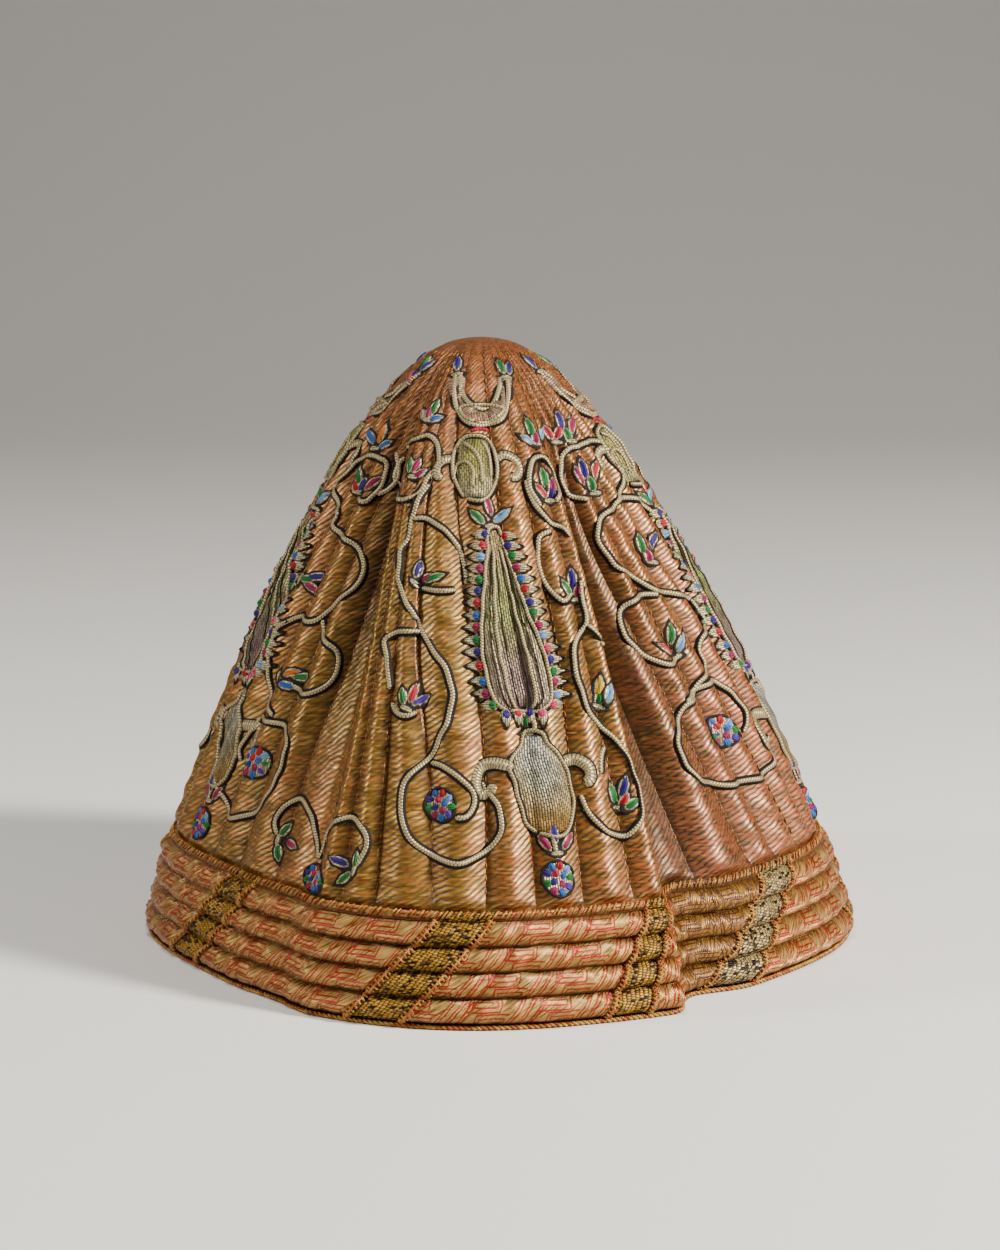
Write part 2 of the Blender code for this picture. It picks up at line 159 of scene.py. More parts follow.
# %% [markdown]
# ## Ribs, folds and dents
#
# Between two stitched lines the wadding pushes the cloth up into a rib. In an old hat the ribs
# have flattened and the valleys have rounded, so a soft mix of two curves stands for them. Folds
# and dents are cosine hollows. Each row of the tables gives a place, how far the hollow reaches
# to both sides, and how deep it is at six heights. The creases beside the two big folds are the
# cloth's own, and the CAD model has none.

# %% How far the cloth sinks
PUFF_POWER = 0.6     # how full the stuffing is: a lower power gives boxier ribs
FOLD_RUN = 0.0046    # length round the hat over which a fold's steep side falls
LEFT_FOLD_LINE, RIGHT_FOLD_LINE = 4, 12   # numbers of the lines they run along
DENTS = (
    # azimuth, degrees it eases out over to the left and right, depth at each station
    (-58.0, 34.0, 30.0, (0.060, 0.045, 0.025, 0.010, 0.000, 0.000)),
    (-10.0, 40.0, 32.0, (-0.038, -0.030, -0.020, -0.010, 0.000, 0.000)),
    (60.0, 30.0, 30.0, (0.035, 0.030, 0.020, 0.010, 0.000, 0.000)),
    (150.0, 30.0, 22.0, (0.025, 0.025, 0.020, 0.010, 0.000, 0.000)),
    (235.0, 24.0, 30.0, (0.020, 0.025, 0.025, 0.015, 0.000, 0.000)),
)
FOLDS = (
    # quilting line, steep side, degrees the other side eases out over, depth at each station
    (LEFT_FOLD_LINE, 1, 45.0, (0.010, 0.028, 0.045, 0.045, 0.022, 0.000)),
    (RIGHT_FOLD_LINE, -1, 50.0, (0.070, 0.082, 0.085, 0.062, 0.026, 0.000)),
)
CREASES = (
    # quilting line, degrees from it to the deepest place, degrees to the left and right, depths
    (LEFT_FOLD_LINE, -4.5, 14.0, 5.0, (0.020, 0.052, 0.070, 0.066, 0.030, 0.000)),
    (RIGHT_FOLD_LINE, 4.5, 6.0, 12.0, (0.045, 0.060, 0.062, 0.044, 0.014, 0.000)),
)


def channel(azimuth, share):
    """How far across its quilted channel a point is, from 0 to 1, and that channel's radians."""
    azimuth, share = np.broadcast_arrays(azimuth, share)
    lines = quilting_lines(share)
    turn = (azimuth - lines[..., 0]) % 360.0
    edges = np.concatenate([lines - lines[..., :1], np.full(turn.shape + (1,), 360.0)], axis=-1)
    i = (turn[..., None] >= edges[..., :-1]).sum(axis=-1)[..., None] - 1
    low = np.take_along_axis(edges, i, axis=-1)[..., 0]
    high = np.take_along_axis(edges, i + 1, axis=-1)[..., 0]
    return (turn - low) / (high - low), np.radians(high - low)


def puff(f, power=PUFF_POWER):
    """Height of padded cloth between two stitched lines, 0 at both and 1 half way."""
    return np.clip(4 * f * (1 - f), 0, 1) ** power


def worn_puff(f):
    """The same for the old soft quilting of the cone, whose valleys have filled and rounded."""
    return 0.45 * puff(f, 0.8) + 0.55 * np.sin(math.pi * f) ** 2


def ease(x):
    """One at 0, falling smoothly to zero at 1 and beyond."""
    return 0.5 * (1 + np.cos(math.pi * np.clip(x, 0, 1)))


def away(azimuth, centre):
    """Signed degrees from a centre line, between -180 and 180."""
    return (azimuth - centre + 180.0) % 360.0 - 180.0


def dent_depth(azimuth, share):
    """How far folds and dents push the wall in: a cosine hollow for each row of the two tables."""
    azimuth, share = np.broadcast_arrays(np.asarray(azimuth, float), np.asarray(share, float))
    depth = np.zeros(azimuth.shape)
    for centre, left, right, depths in DENTS:
        d = away(azimuth, centre)
        depth += through(share, STATIONS, depths) * ease(np.where(d < 0, -d / left, d / right))
    lines = quilting_lines(share)
    steep = np.degrees(FOLD_RUN / np.maximum(crown_profile(share)[0], FOLD_RUN))
    for line, side, gentle, depths in FOLDS:
        d = side * away(azimuth, lines[..., line])
        depth += through(share, STATIONS, depths) * ease(np.where(d > 0, d / steep, -d / gentle))
    for line, shift, left, right, depths in CREASES:
        d = away(azimuth, lines[..., line] + shift)
        depth += through(share, STATIONS, depths) * ease(np.where(d < 0, -d / left, d / right))
    return depth * CROWN_FOOT_RADIUS


print("deepest fold %.1f mm" % (1000 * dent_depth(np.arange(360.0), 0.4).max()))

# %% [markdown]
# ## Points on the cloth
#
# The hat leans, so every point is placed round a leaning axis. The cloth is the outline, less the
# sink at the stitched lines, less the folds. At its foot the band grips it and pulls it to one
# radius. It sinks deeper at the lines than the CAD model does, and it puckers.

# %% Points on the cone
CROWN_LEAN = -0.0053           # how far the tip stands to the left of the foot
MIDDLE = (-0.00002, 0.00158)   # where the hat's own axis stands
PUCKER = 0.00020               # half the height of the cross wrinkles
VISIBLE_RISE, VISIBLE_PUFF = 0.0030, 0.23   # the cloth sinks deeper at the lines than the CAD
VISIBLE_FADE = np.array([1.0, 1.0, 1.0, 1.0, 0.9, 0.5])   # and the ribs reach nearer to the tip
TUCK_SHARE = 0.02              # share of the slant over which the band's grip lets go


def place(azimuth, radius, height):
    """Points at a radius round the hat's leaning axis."""
    a = np.radians(azimuth)
    x = radius * np.sin(a) + CROWN_LEAN * height / HAT_HEIGHT + MIDDLE[0]
    return np.stack(np.broadcast_arrays(x, MIDDLE[1] - radius * np.cos(a), height), axis=-1)


def pucker(azimuth, share):
    """Small cross wrinkles of old padding, from waves that close after a whole turn."""
    turn = np.radians(azimuth)
    waves = (np.sin(150 * share + 3 * np.sin(5 * turn) + 8 * turn)
             + 0.8 * np.sin(97 * share - 11 * turn + 2 * np.sin(3 * turn)))
    return PUCKER * waves


def crown_radius(azimuth, share):
    """Radius and height of the outside: outline, less the sink at the lines, less the dents."""
    radius, height = crown_profile(share)
    f, width = channel(azimuth, share)
    rise = np.minimum(VISIBLE_RISE, VISIBLE_PUFF * width * radius)
    rise = rise * through(share, STATIONS, VISIBLE_FADE)
    shown = radius - rise * (1 - worn_puff(f))
    shown = shown + pucker(azimuth, share) * worn_puff(f) * ease(8 * share - 7)
    grip = ease(np.asarray(share, float) / TUCK_SHARE)
    return shown + grip * (CROWN_TUCK_RADIUS - shown) - dent_depth(azimuth, share), height


def crown_points(azimuth, share):
    """Points on the outside of the cone."""
    radius, height = crown_radius(azimuth, share)
    return place(azimuth, radius, height)


print("cloth at the front, half way up:", crown_points(np.array([0.0]), 0.5).round(4).tolist())

# %% [markdown]
# ## From arrays to mesh objects
#
# Every piece below is a grid of points, or a stack of small grids, so one function turns them all
# into meshes. Grids are given with a doubled seam and with their poles as whole rows. Welding the
# points that coincide closes them, and the UV maps stay unbroken because they belong to face
# corners and not to points.

# %% One function for every mesh
def skin(name, points, finishes, maps=None, colours=None, finish_rows=None,
         replaces=()):
    """Turns a grid of points, or a stack of grids, into one closed mesh object on the hat.

    points is (rows, columns, 3), or (pieces, rows, columns, 3). maps holds UV maps and colours one
    colour for each point, both on the same grid. finish_rows gives the material of each row.
    """
    points = np.asarray(points, float)
    points = points.reshape((-1,) + points.shape[-3:])
    pieces, rows, columns, _ = points.shape
    number = np.arange(pieces * rows * columns).reshape(pieces, rows, columns)
    quads = np.stack([number[:, :-1, :-1], number[:, :-1, 1:],
                      number[:, 1:, 1:], number[:, 1:, :-1]], axis=-1).reshape(-1, 4)
    mesh = bpy.data.meshes.new(name)
    mesh.from_pydata(points.reshape(-1, 3), [], quads)
    for key, values in (maps or {}).items():
        corners = np.asarray(values, float).reshape(-1, 2)[quads.ravel()]
        mesh.uv_layers.new(name=key).data.foreach_set("uv", corners.astype(np.float32).ravel())
    if colours is not None:
        corners = np.asarray(colours, float).reshape(-1, 4)[quads.ravel()]
        layer = mesh.color_attributes.new("silk", "FLOAT_COLOR", "CORNER")
        layer.data.foreach_set("color", corners.astype(np.float32).ravel())
    for finish in finishes:
        mesh.materials.append(finish)
    if finish_rows is not None:
        which = np.broadcast_to(np.asarray(finish_rows)[None, :, None], number[:, 1:, 1:].shape)
        mesh.polygons.foreach_set("material_index", which.astype(np.int32).ravel())
    work = bmesh.new()
    work.from_mesh(mesh)
    bmesh.ops.remove_doubles(work, verts=work.verts, dist=2e-7)
    bmesh.ops.recalc_face_normals(work, faces=work.faces)
    work.to_mesh(mesh)
    work.free()
    mesh.shade_smooth()
    thing = bpy.data.objects.new(name, mesh)
    bpy.context.scene.collection.objects.link(thing)
    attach(thing, "root")
    if replaces:
        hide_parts(*replaces)
    print(name, "triangles", sum(len(p.vertices) - 2 for p in mesh.polygons))
    return thing


# %% [markdown]
# ## Colours and shader nodes
#
# Colours are written as the hex codes a painter would pick on screen, and turned into the linear
# values that the renderer needs. Shader nodes are added by one function, which links the inputs
# that are outputs of other nodes and sets the rest as plain numbers.
#
# Threads lie side by side, so nearly every cloth here needs the same row of round humps.

# %% Helpers for materials
def to_linear(code):
    """The linear colour of an sRGB hex code such as #8a6a34, with alpha 1."""
    value = np.array([int(code[i:i + 2], 16) for i in (1, 3, 5)]) / 255
    linear = np.where(value <= 0.04045, value / 12.92, ((value + 0.055) / 1.055) ** 2.4)
    return (*linear.tolist(), 1.0)


def add(tree, kind, *values, named=None, **settings):
    """Adds one shader node and returns its first output.

    values go to the input sockets in order and named to sockets by name, settings to the node.
    """
    node = tree.nodes.new("ShaderNode" + kind)
    for key, value in settings.items():
        setattr(node, key, value)
    for key, value in list(enumerate(values)) + list((named or {}).items()):
        if isinstance(value, bpy.types.NodeSocket):
            tree.links.new(value, node.inputs[key])
        elif value is not None:
            node.inputs[key].default_value = value
    return node.outputs[0] if node.outputs else node


def new_material(name):
    """A material with only its output node; returns it with its node tree."""
    finish = bpy.data.materials.new(name)
    finish.use_nodes = True
    finish.node_tree.nodes.clear()
    return finish, finish.node_tree


def hump(tree, x):
    """A row of rounded humps, one for each whole step of x: |sin(pi x)|."""
    wave = add(tree, "Math", add(tree, "Math", x, math.pi, operation="MULTIPLY"), operation="SINE")
    return add(tree, "Math", wave, operation="ABSOLUTE")


def surface(tree, colour, roughness, metallic, height, depth, **more):
    """Joins a finish: the Principled shader with a bump of the given depth in metres."""
    bump = add(tree, "Bump", named={"Strength": 1.0, "Distance": depth, "Height": height})
    inputs = {"Base Color": colour, "Roughness": roughness, "Metallic": metallic, "Normal": bump}
    inputs.update({key.replace("_", " "): value for key, value in more.items()})
    shader = add(tree, "BsdfPrincipled", named=inputs)
    add(tree, "OutputMaterial", shader)


print("gold #a07c3e is", [round(v, 3) for v in to_linear("#a07c3e")])

# %% [markdown]
# ## The gold twill
#
# The crown's cloth is a twill of flat gilt strips over a brown silk core. A twill shows slanted
# ridges, and each ridge is a row of short floats of metal that catch the light one by one. A float
# is given its own random brightness, because hand-made gilt thread is never even. Brown and a
# little orange silk show in the grooves, and the stitched valleys have worn down to orange silk.
#
# The UV map "twill" is in millimetres, across and along the ridges, so the numbers here are sizes
# that could be measured on the cloth.

# %% Ridges and floats of the twill
TWILL_PITCH = 1.5    # mm between two ridges
TWILL_ANGLE = math.radians(32)
WEFT_PITCH = 0.5     # mm between two metal threads, which run level round the hat
STITCH_PITCH = 3.4   # mm between two quilting stitches

gold_twill, tree = new_material("gold brocade twill")
place_mm = add(tree, "UVMap", uv_map="twill")
weave = add(tree, "SeparateXYZ", place_mm).node
waver = add(tree, "TexNoise", place_mm, named={"Scale": 0.13, "Detail": 2.0}, noise_dimensions="2D")
ridge_at = add(tree, "Math", weave.outputs[0], 1 / TWILL_PITCH, operation="MULTIPLY")
ridge_at = add(tree, "Math", waver, 1.1, ridge_at, operation="MULTIPLY_ADD")
ridge = hump(tree, ridge_at)
float_at = add(tree, "Math", weave.outputs[1], math.sin(TWILL_ANGLE) / WEFT_PITCH,
               operation="MULTIPLY")
float_at = add(tree, "Math", weave.outputs[0], math.cos(TWILL_ANGLE) / WEFT_PITCH, float_at,
               operation="MULTIPLY_ADD")
notch = hump(tree, float_at)
cell = add(tree, "CombineXYZ", add(tree, "Math", ridge_at, operation="FLOOR"),
           add(tree, "Math", float_at, operation="FLOOR"))
chance = add(tree, "TexWhiteNoise", cell, noise_dimensions="2D")
other_chance = add(tree, "TexWhiteNoise", add(tree, "VectorMath", cell, (7.3, 3.1, 0.0)),
                   noise_dimensions="2D")
shown = add(tree, "MapRange", ridge, 0.48, 0.94)
object_at = add(tree, "TexCoord").node.outputs["Object"]
split_at = add(tree, "SeparateXYZ", object_at).node
# On the left the floats are longer and hide more of the grooves
shown = add(tree, "Math", shown, add(tree, "MapRange", split_at.outputs[0], -0.03, 0.05, 0.35, 0.0),
            operation="MAXIMUM")
shown = add(tree, "Math", shown, add(tree, "MapRange", notch, 0.0, 0.5, 0.55, 1.0),
            operation="MULTIPLY")
print("ridges and floats:", len(tree.nodes), "nodes")

# %% [markdown]
# ## Gilt, rubbed cloth, worn valleys and painted shade
#
# Gilt strip is yellow where it is whole. Where handling has rubbed the gold away, its core shows
# through and the cloth turns pinker, so a soft noise mixes the two. Silk in the grooves is dark
# brown, redder where the cloth is rubbed. The stitched valleys are more orange, because there the
# metal has worn off, and they and the deep folds are darkened with painted shade.

# %% Colours of the twill
# Cloth that has rubbed is pinker, and more so on the right of the hat and near the tip
worn = add(tree, "TexNoise", object_at, named={"Scale": 26.0, "Detail": 4.0, "Roughness": 0.6})
rightwards = add(tree, "MapRange", split_at.outputs[0], -0.01, 0.075, -0.25, 0.5)
upwards = add(tree, "MapRange", split_at.outputs[2], 0.13, 0.17, 0.0, 0.45)
pink = add(tree, "Math", worn, add(tree, "Math", rightwards, upwards, operation="MAXIMUM"),
           operation="ADD")
pink = add(tree, "MapRange", pink, 0.42, 0.85)
gilt = add(tree, "MixRGB", chance, to_linear("#745414"), to_linear("#ae862a"))
gilt_bright = add(tree, "MixRGB", add(tree, "MapRange", chance, 0.9, 1.0, 0.0, 0.4),
                  gilt, to_linear("#f8d078"))
rubbed = add(tree, "MixRGB", chance, to_linear("#88542a"), to_linear("#b67e48"))
metal = add(tree, "MixRGB", pink, gilt_bright, rubbed)
redder = add(tree, "Math", pink, 0.35, other_chance, operation="MULTIPLY_ADD")
silk = add(tree, "MixRGB", add(tree, "MapRange", redder, 0.72, 0.9),
           to_linear("#241606"), to_linear("#7e2c0a"))
cloth_colour = add(tree, "MixRGB", shown, silk, metal)
# The stitched valleys show orange silk
ribs = add(tree, "SeparateXYZ", add(tree, "UVMap", uv_map="ribs")).node
valley = add(tree, "MapRange", ribs.outputs[0], 0.1, 1.1, 1.0, 0.0)
valley_colour = add(tree, "MixRGB", chance, to_linear("#6a3408"), to_linear("#c87c20"))
cloth_colour = add(tree, "MixRGB", add(tree, "Math", valley, 0.55, operation="MULTIPLY"),
                   cloth_colour, valley_colour)
# Painted shade darkens the bottom of each valley, and more so the deep folds, where light barely
# reaches
painted_valley_shade = add(tree, "MapRange", ribs.outputs[0], 0.0, 2.6, 0.42, 1.0, interpolation_type="SMOOTHSTEP")
sunk = add(tree, "SeparateXYZ", add(tree, "UVMap", uv_map="sunk"))
painted_valley_shade = add(tree, "Math", painted_valley_shade, add(tree, "MapRange", sunk, 4.0, 12.0, 1.0, 0.4),
           operation="MULTIPLY")
cloth_colour = add(tree, "MixRGB", 1.0, cloth_colour, add(tree, "CombineXYZ", painted_valley_shade, painted_valley_shade, painted_valley_shade),
                   blend_type="MULTIPLY")
# Each stitch pulls the cloth down a little
tug = hump(tree, add(tree, "Math", ribs.outputs[1], 1 / STITCH_PITCH, operation="MULTIPLY"))
dip = add(tree, "Math", add(tree, "Math", tug, valley, operation="MULTIPLY"), -1.1,
          operation="MULTIPLY")
height = add(tree, "Math", ridge, 1.6, dip, operation="MULTIPLY_ADD")
surface(tree, cloth_colour, add(tree, "MapRange", other_chance, 0.0, 1.0, 0.35, 0.5),
        add(tree, "MapRange", shown, 0.0, 1.0, 0.1, 0.8), height, 0.00005)
print("twill nodes:", len(tree.nodes))

# %% [markdown]
# ## The lining
#
# The inside doesn't show in the photograph. Such a hat is lined with plain undyed cotton, so the
# inner side of the cone gets a thin even weave, matte, with no metal in it.

# %% Cotton lining
lining, tree = new_material("undyed cotton lining")
threads = add(tree, "SeparateXYZ", add(tree, "UVMap", uv_map="twill")).node
waves = [add(tree, "Math", add(tree, "Math", threads.outputs[k], math.pi / 0.55,
                               operation="MULTIPLY"), operation="SINE") for k in (0, 1)]
weave_height = add(tree, "Math", waves[0], waves[1], operation="MULTIPLY")
slub = add(tree, "TexNoise", add(tree, "TexCoord").node.outputs["Object"],
           named={"Scale": 60.0, "Detail": 5.0})
surface(tree, add(tree, "MixRGB", slub, to_linear("#8f7448"), to_linear("#c9b184")), 0.85, 0.0,
        weave_height, 0.00008)
print("lining nodes:", len(tree.nodes))

# %% [markdown]
# ## The padded cone
#
# The grid's columns follow the quilting lines and crowd together near each one, where the padding
# rises steeply. The twill's UV map measures the cloth round the hat and up its slant, with the
# cloth gathered towards the tip, so its ridges climb to the right everywhere and grow finer and
# steeper as the cone narrows. The seam is at the back. The same grid goes on over the tip and down
# inside, so the cone is one closed skin.

# %% Columns and cloth measure
SEAM_LINE = 30          # quilting line at the back where the cloth is joined
CHANNEL_COLUMNS = 16

f = (1 - np.cos(np.arange(CHANNEL_COLUMNS) * math.pi / CHANNEL_COLUMNS)) / 2


def columns_at(share):
    """Azimuths of the grid's columns at each share, once round from the seam, from -180 to 180."""
    lines = quilting_lines(share)
    ahead = np.concatenate([lines[..., SEAM_LINE:] - 360.0, lines[..., :SEAM_LINE + 1]], axis=-1)
    inner = ahead[..., :-1, None] + f * (ahead[..., 1:] - ahead[..., :-1])[..., None]
    return np.concatenate([inner.reshape(inner.shape[:-2] + (-1,)), ahead[..., -1:]], axis=-1)


def twill_uv(azimuth, share):
    """Millimetres across and along the ridges, for cloth that is gathered towards the tip.

    Round the hat the cloth measures angle x sqrt(radius x foot radius), and up it the slant.
    """
    u = np.radians(azimuth) * np.sqrt(crown_profile(share)[0] * CROWN_SWELL_RADIUS) * 1000
    v = share * SLANT * 1000
    return np.stack([v * math.cos(TWILL_ANGLE) - u * math.sin(TWILL_ANGLE),
                     u * math.cos(TWILL_ANGLE) + v * math.sin(TWILL_ANGLE)], axis=-1)


def gripped(height, inwards):
    """A row of the cone under the band, at one height."""
    azimuth = columns_at(np.array([0.0]))
    grow = CROWN_FOOT_RADIUS + height / BAND_HEIGHT * (CROWN_TUCK_RADIUS - CROWN_FOOT_RADIUS)
    return azimuth, place(azimuth, grow - inwards - dent_depth(azimuth, 0.0), height)


print("columns:", columns_at(np.array([0.0])).shape[-1])

# %% [markdown]
# ## Rows up the outside and down the inside
#
# The rows are closest at the foot, where the band pinches the cloth. The inside runs a wall's
# thickness under the outline, measured square to it. It has no ribs, so it needs far fewer rows.

# %% Rows of the cone
CROWN_WALL = 0.0030   # from the inside up to a valley of the CAD model
RIB_RISE = 0.0023     # from there up to the top of a rib
RIB_FADE = np.array([1.0, 1.0, 1.0, 0.9, 0.5, 0.0])   # share of that rise at each station
shares = np.concatenate([np.linspace(0, TUCK_SHARE, 5), np.linspace(TUCK_SHARE + 0.008, 1, 118)])
azimuth = columns_at(shares)
outside = crown_points(azimuth, shares[:, None])
inner_shares = np.array([1.0, 0.97, 0.93, 0.86, 0.76, 0.64, 0.52, 0.4, 0.28, 0.16, 0.05, 0.0])
inner_azimuth = columns_at(inner_shares)
r0, z0 = crown_profile(inner_shares - 0.001)
r1, z1 = crown_profile(inner_shares + 0.001)
radius, height = crown_profile(inner_shares)
wall = (CROWN_WALL + RIB_RISE * through(inner_shares, STATIONS, RIB_FADE)) / np.hypot(r1 - r0,
                                                                                      z1 - z0)
radius, height = radius - wall * (z1 - z0), height + wall * (r1 - r0)
radius[0], height[0] = 0.0, HAT_HEIGHT - CROWN_WALL
inside = place(inner_azimuth, np.maximum(radius[:, None] - dent_depth(inner_azimuth,
                                                                      inner_shares[:, None]), 0),
               height[:, None])
foot = [gripped(h, 0.0) for h in (0.0, BAND_HEIGHT / 2)]
inner_foot = [gripped(h, CROWN_WALL) for h in (BAND_HEIGHT / 2, 0.0)]
rows = np.concatenate([foot[0][1], foot[1][1], outside, inside, inner_foot[0][1],
                       inner_foot[1][1], foot[0][1]])
all_azimuth = np.concatenate([foot[0][0], foot[1][0], azimuth, inner_azimuth, inner_foot[0][0],
                              inner_foot[1][0], foot[0][0]])
print("rows:", len(rows))

# %% [markdown]
# ## What the materials read from the cone
#
# Three UV maps tell the materials where they are. One measures the cloth for the weave. One gives
# the distance to the nearest stitched line and the way up the slant, and the last says how deep
# in a fold the cloth lies. The rows after the tip are lining.

# %% UV maps and skin of the cone
below = BAND_HEIGHT / SLANT
all_shares = np.concatenate([[-below, -below / 2], shares, inner_shares, [-below / 2, -below,
                                                                          -below]])[:, None]
fraction, width = channel(all_azimuth, np.clip(all_shares, 0, 1))
to_line = np.minimum(fraction, 1 - fraction) * width * crown_profile(all_shares)[0] * 1000
# Near the tip, where the ribs fade, the distance is made larger, so the valley colour and the
# painted shade in the twill fade out too
to_line += 3.0 * (1 - through(all_shares, STATIONS, VISIBLE_FADE))
# How deep in a fold the cloth lies, which the twill reads for painted shade
sunk = 1000 * dent_depth(all_azimuth, np.clip(all_shares, 0, 1))
sunk_uv = np.stack([sunk, 0 * sunk], axis=-1)
rib_uv = np.stack([to_line, np.broadcast_to(all_shares * SLANT * 1000, to_line.shape)], axis=-1)
which = np.where(np.arange(len(rows) - 1) < len(shares) + 2, 0, 1)
skin("quilted_crown", rows, [gold_twill, lining],
     {"twill": twill_uv(all_azimuth, all_shares), "ribs": rib_uv, "sunk": sunk_uv},
     finish_rows=which, replaces=["crown"])

# %% [markdown]
# ## Cloths of the band
#
# The band is pieced from older cloth. Its wide panels are a silver satin with fine red lines:
# groups of upright double lines, then a cell with two staggered bars outlined in red, like a
# key. The narrow strips between them are a coarse gold weave with dark flecks.
#
# The satin's own floats run on the slant, so a very fine slanted ripple gives it its soft streaky
# shine, helped by lighter streaks of painted sheen along the same slant. Every line of the pattern
# is a distance in millimetres compared with half a line's width.

# %% Satin with lines
PATTERN_REPEAT = 18.5  # mm along the band
STRIPES_WIDE = 8.6     # mm of it with stripes
STRIPE_PITCH = 2.9     # mm between two double lines
ROLL_MM = 9.0          # mm of cloth over one padded roll
SATIN_FLOAT = 0.62     # mm between two slanted floats, coarser than real ones, which wouldn't show
FLECK_WIDE, FLECK_HIGH = 1.3, 0.62   # mm, one float of the flecked weave


def brocade(name, ground, ground_sheen, line, metallic):
    """Satin with fine lines: stripes in one half of the repeat and outlined bars in the other."""
    finish, tree = new_material(name)
    at = add(tree, "UVMap", uv_map="band")
    noise = add(tree, "TexNoise", at, named={"Scale": 0.35, "Detail": 3.0}, noise_dimensions="2D")
    split = add(tree, "SeparateXYZ", at).node
    u = add(tree, "Math", noise, 0.9, split.outputs[0], operation="MULTIPLY_ADD")
    v = split.outputs[1]
    u_cell = add(tree, "Math", u, PATTERN_REPEAT, operation="FLOORED_MODULO")
    v_cell = add(tree, "Math", v, ROLL_MM, operation="FLOORED_MODULO")
    stripe = add(tree, "Math", u_cell, STRIPE_PITCH, operation="FLOORED_MODULO")
    stripe = add(tree, "Math", stripe, STRIPE_PITCH / 2, operation="SUBTRACT")
    stripe = add(tree, "Math", add(tree, "Math", stripe, operation="ABSOLUTE"), 0.5,
                 operation="SUBTRACT")
    stripe = add(tree, "Math", stripe, operation="ABSOLUTE")
    in_stripes = add(tree, "Math", u_cell, STRIPES_WIDE, operation="LESS_THAN")
    stripe = add(tree, "MapRange", stripe, 0.2, 0.3, 1.0, 0.0)
    red = add(tree, "Math", stripe, in_stripes, operation="MULTIPLY")
    sheared = add(tree, "Math", v_cell, 0.45, u_cell, operation="MULTIPLY_ADD")
    point = add(tree, "CombineXYZ", sheared, v_cell)
    for centre, half in [((x, y, 0.0), (4.2 - inwards, 1.7 - inwards, 9.0))
                         for x, y in ((13.4, 6.5), (16.2, 2.6)) for inwards in (0.0, 1.05)]:
        gap = add(tree, "VectorMath", point, centre, operation="SUBTRACT")
        gap = add(tree, "VectorMath", gap, operation="ABSOLUTE")
        gap = add(tree, "VectorMath", gap, half, operation="SUBTRACT")
        gap = add(tree, "SeparateXYZ", gap).node
        box = add(tree, "Math", gap.outputs[0], gap.outputs[1], operation="MAXIMUM")
        box = add(tree, "MapRange", add(tree, "Math", box, operation="ABSOLUTE"),
                  0.15, 0.27, 1.0, 0.0)
        red = add(tree, "Math", red, box, operation="MAXIMUM")
    slanted = add(tree, "Math", v, -0.9, split.outputs[0], operation="MULTIPLY_ADD")
    ripple = hump(tree, add(tree, "Math", slanted, 1 / SATIN_FLOAT, operation="MULTIPLY"))
    # Painted sheen: streaks of noise along the slant mix the ground towards a lighter colour
    sheen_streak = add(tree, "TexNoise", add(tree, "CombineXYZ", slanted, add(tree, "Math", v, 0.2,
                                                                       operation="MULTIPLY")),
                 named={"Scale": 1.6, "Detail": 3.0}, noise_dimensions="2D")
    base = add(tree, "MixRGB", add(tree, "MapRange", sheen_streak, 0.35, 0.68), ground, ground_sheen)
    hatch = add(tree, "Math", ripple, 0.35, operation="LESS_THAN")
    hatch = add(tree, "Math", hatch, 0.16, operation="MULTIPLY")
    base = add(tree, "MixRGB", hatch, base, to_linear("#7a4412"))
    worn = add(tree, "MapRange", noise, 0.3, 0.5, 0.8, 1.0)
    red = add(tree, "Math", red, worn, operation="MULTIPLY")
    colour = add(tree, "MixRGB", red, base, line)
    # Silk shows brown where the stitching pulls the cloth down between two rolls, and painted shade
    # darkens each roll towards its grooves
    groove = add(tree, "Math", v_cell, ROLL_MM / 2, operation="SUBTRACT")
    groove = add(tree, "Math", groove, operation="ABSOLUTE")
    shade = add(tree, "MapRange", groove, 1.4, ROLL_MM / 2, 1.0, 0.3)
    groove = add(tree, "MapRange", groove, ROLL_MM / 2 - 1.1, ROLL_MM / 2, 0.0, 0.85)
    colour = add(tree, "MixRGB", groove, colour, to_linear("#b8742a"))
    colour = add(tree, "MixRGB", 1.0, colour, add(tree, "CombineXYZ", shade, shade, shade),
                 blend_type="MULTIPLY")
    raised = add(tree, "Math", red, -0.5, ripple, operation="MULTIPLY_ADD")
    surface(tree, colour, add(tree, "MapRange", sheen_streak, 0.3, 0.7, 0.24, 0.42), metallic, raised,
            0.00009)
    return finish


red_brocade = brocade("silver satin with red lines", to_linear("#74501c"), to_linear("#c8a058"),
                      to_linear("#8e1600"), 0.5)
brown_brocade = brocade("brown gold satin", to_linear("#4c2e0c"), to_linear("#a8782e"),
                        to_linear("#4e2808"), 0.35)
print("satins:", red_brocade.name, "and", brown_brocade.name)

# %% [markdown]
# ## The flecked strips
#
# The strips are a coarse weave whose floats are wide enough to see one by one. Each float is a
# small hump with a tone of its own, and each column of floats is shifted against its neighbour.

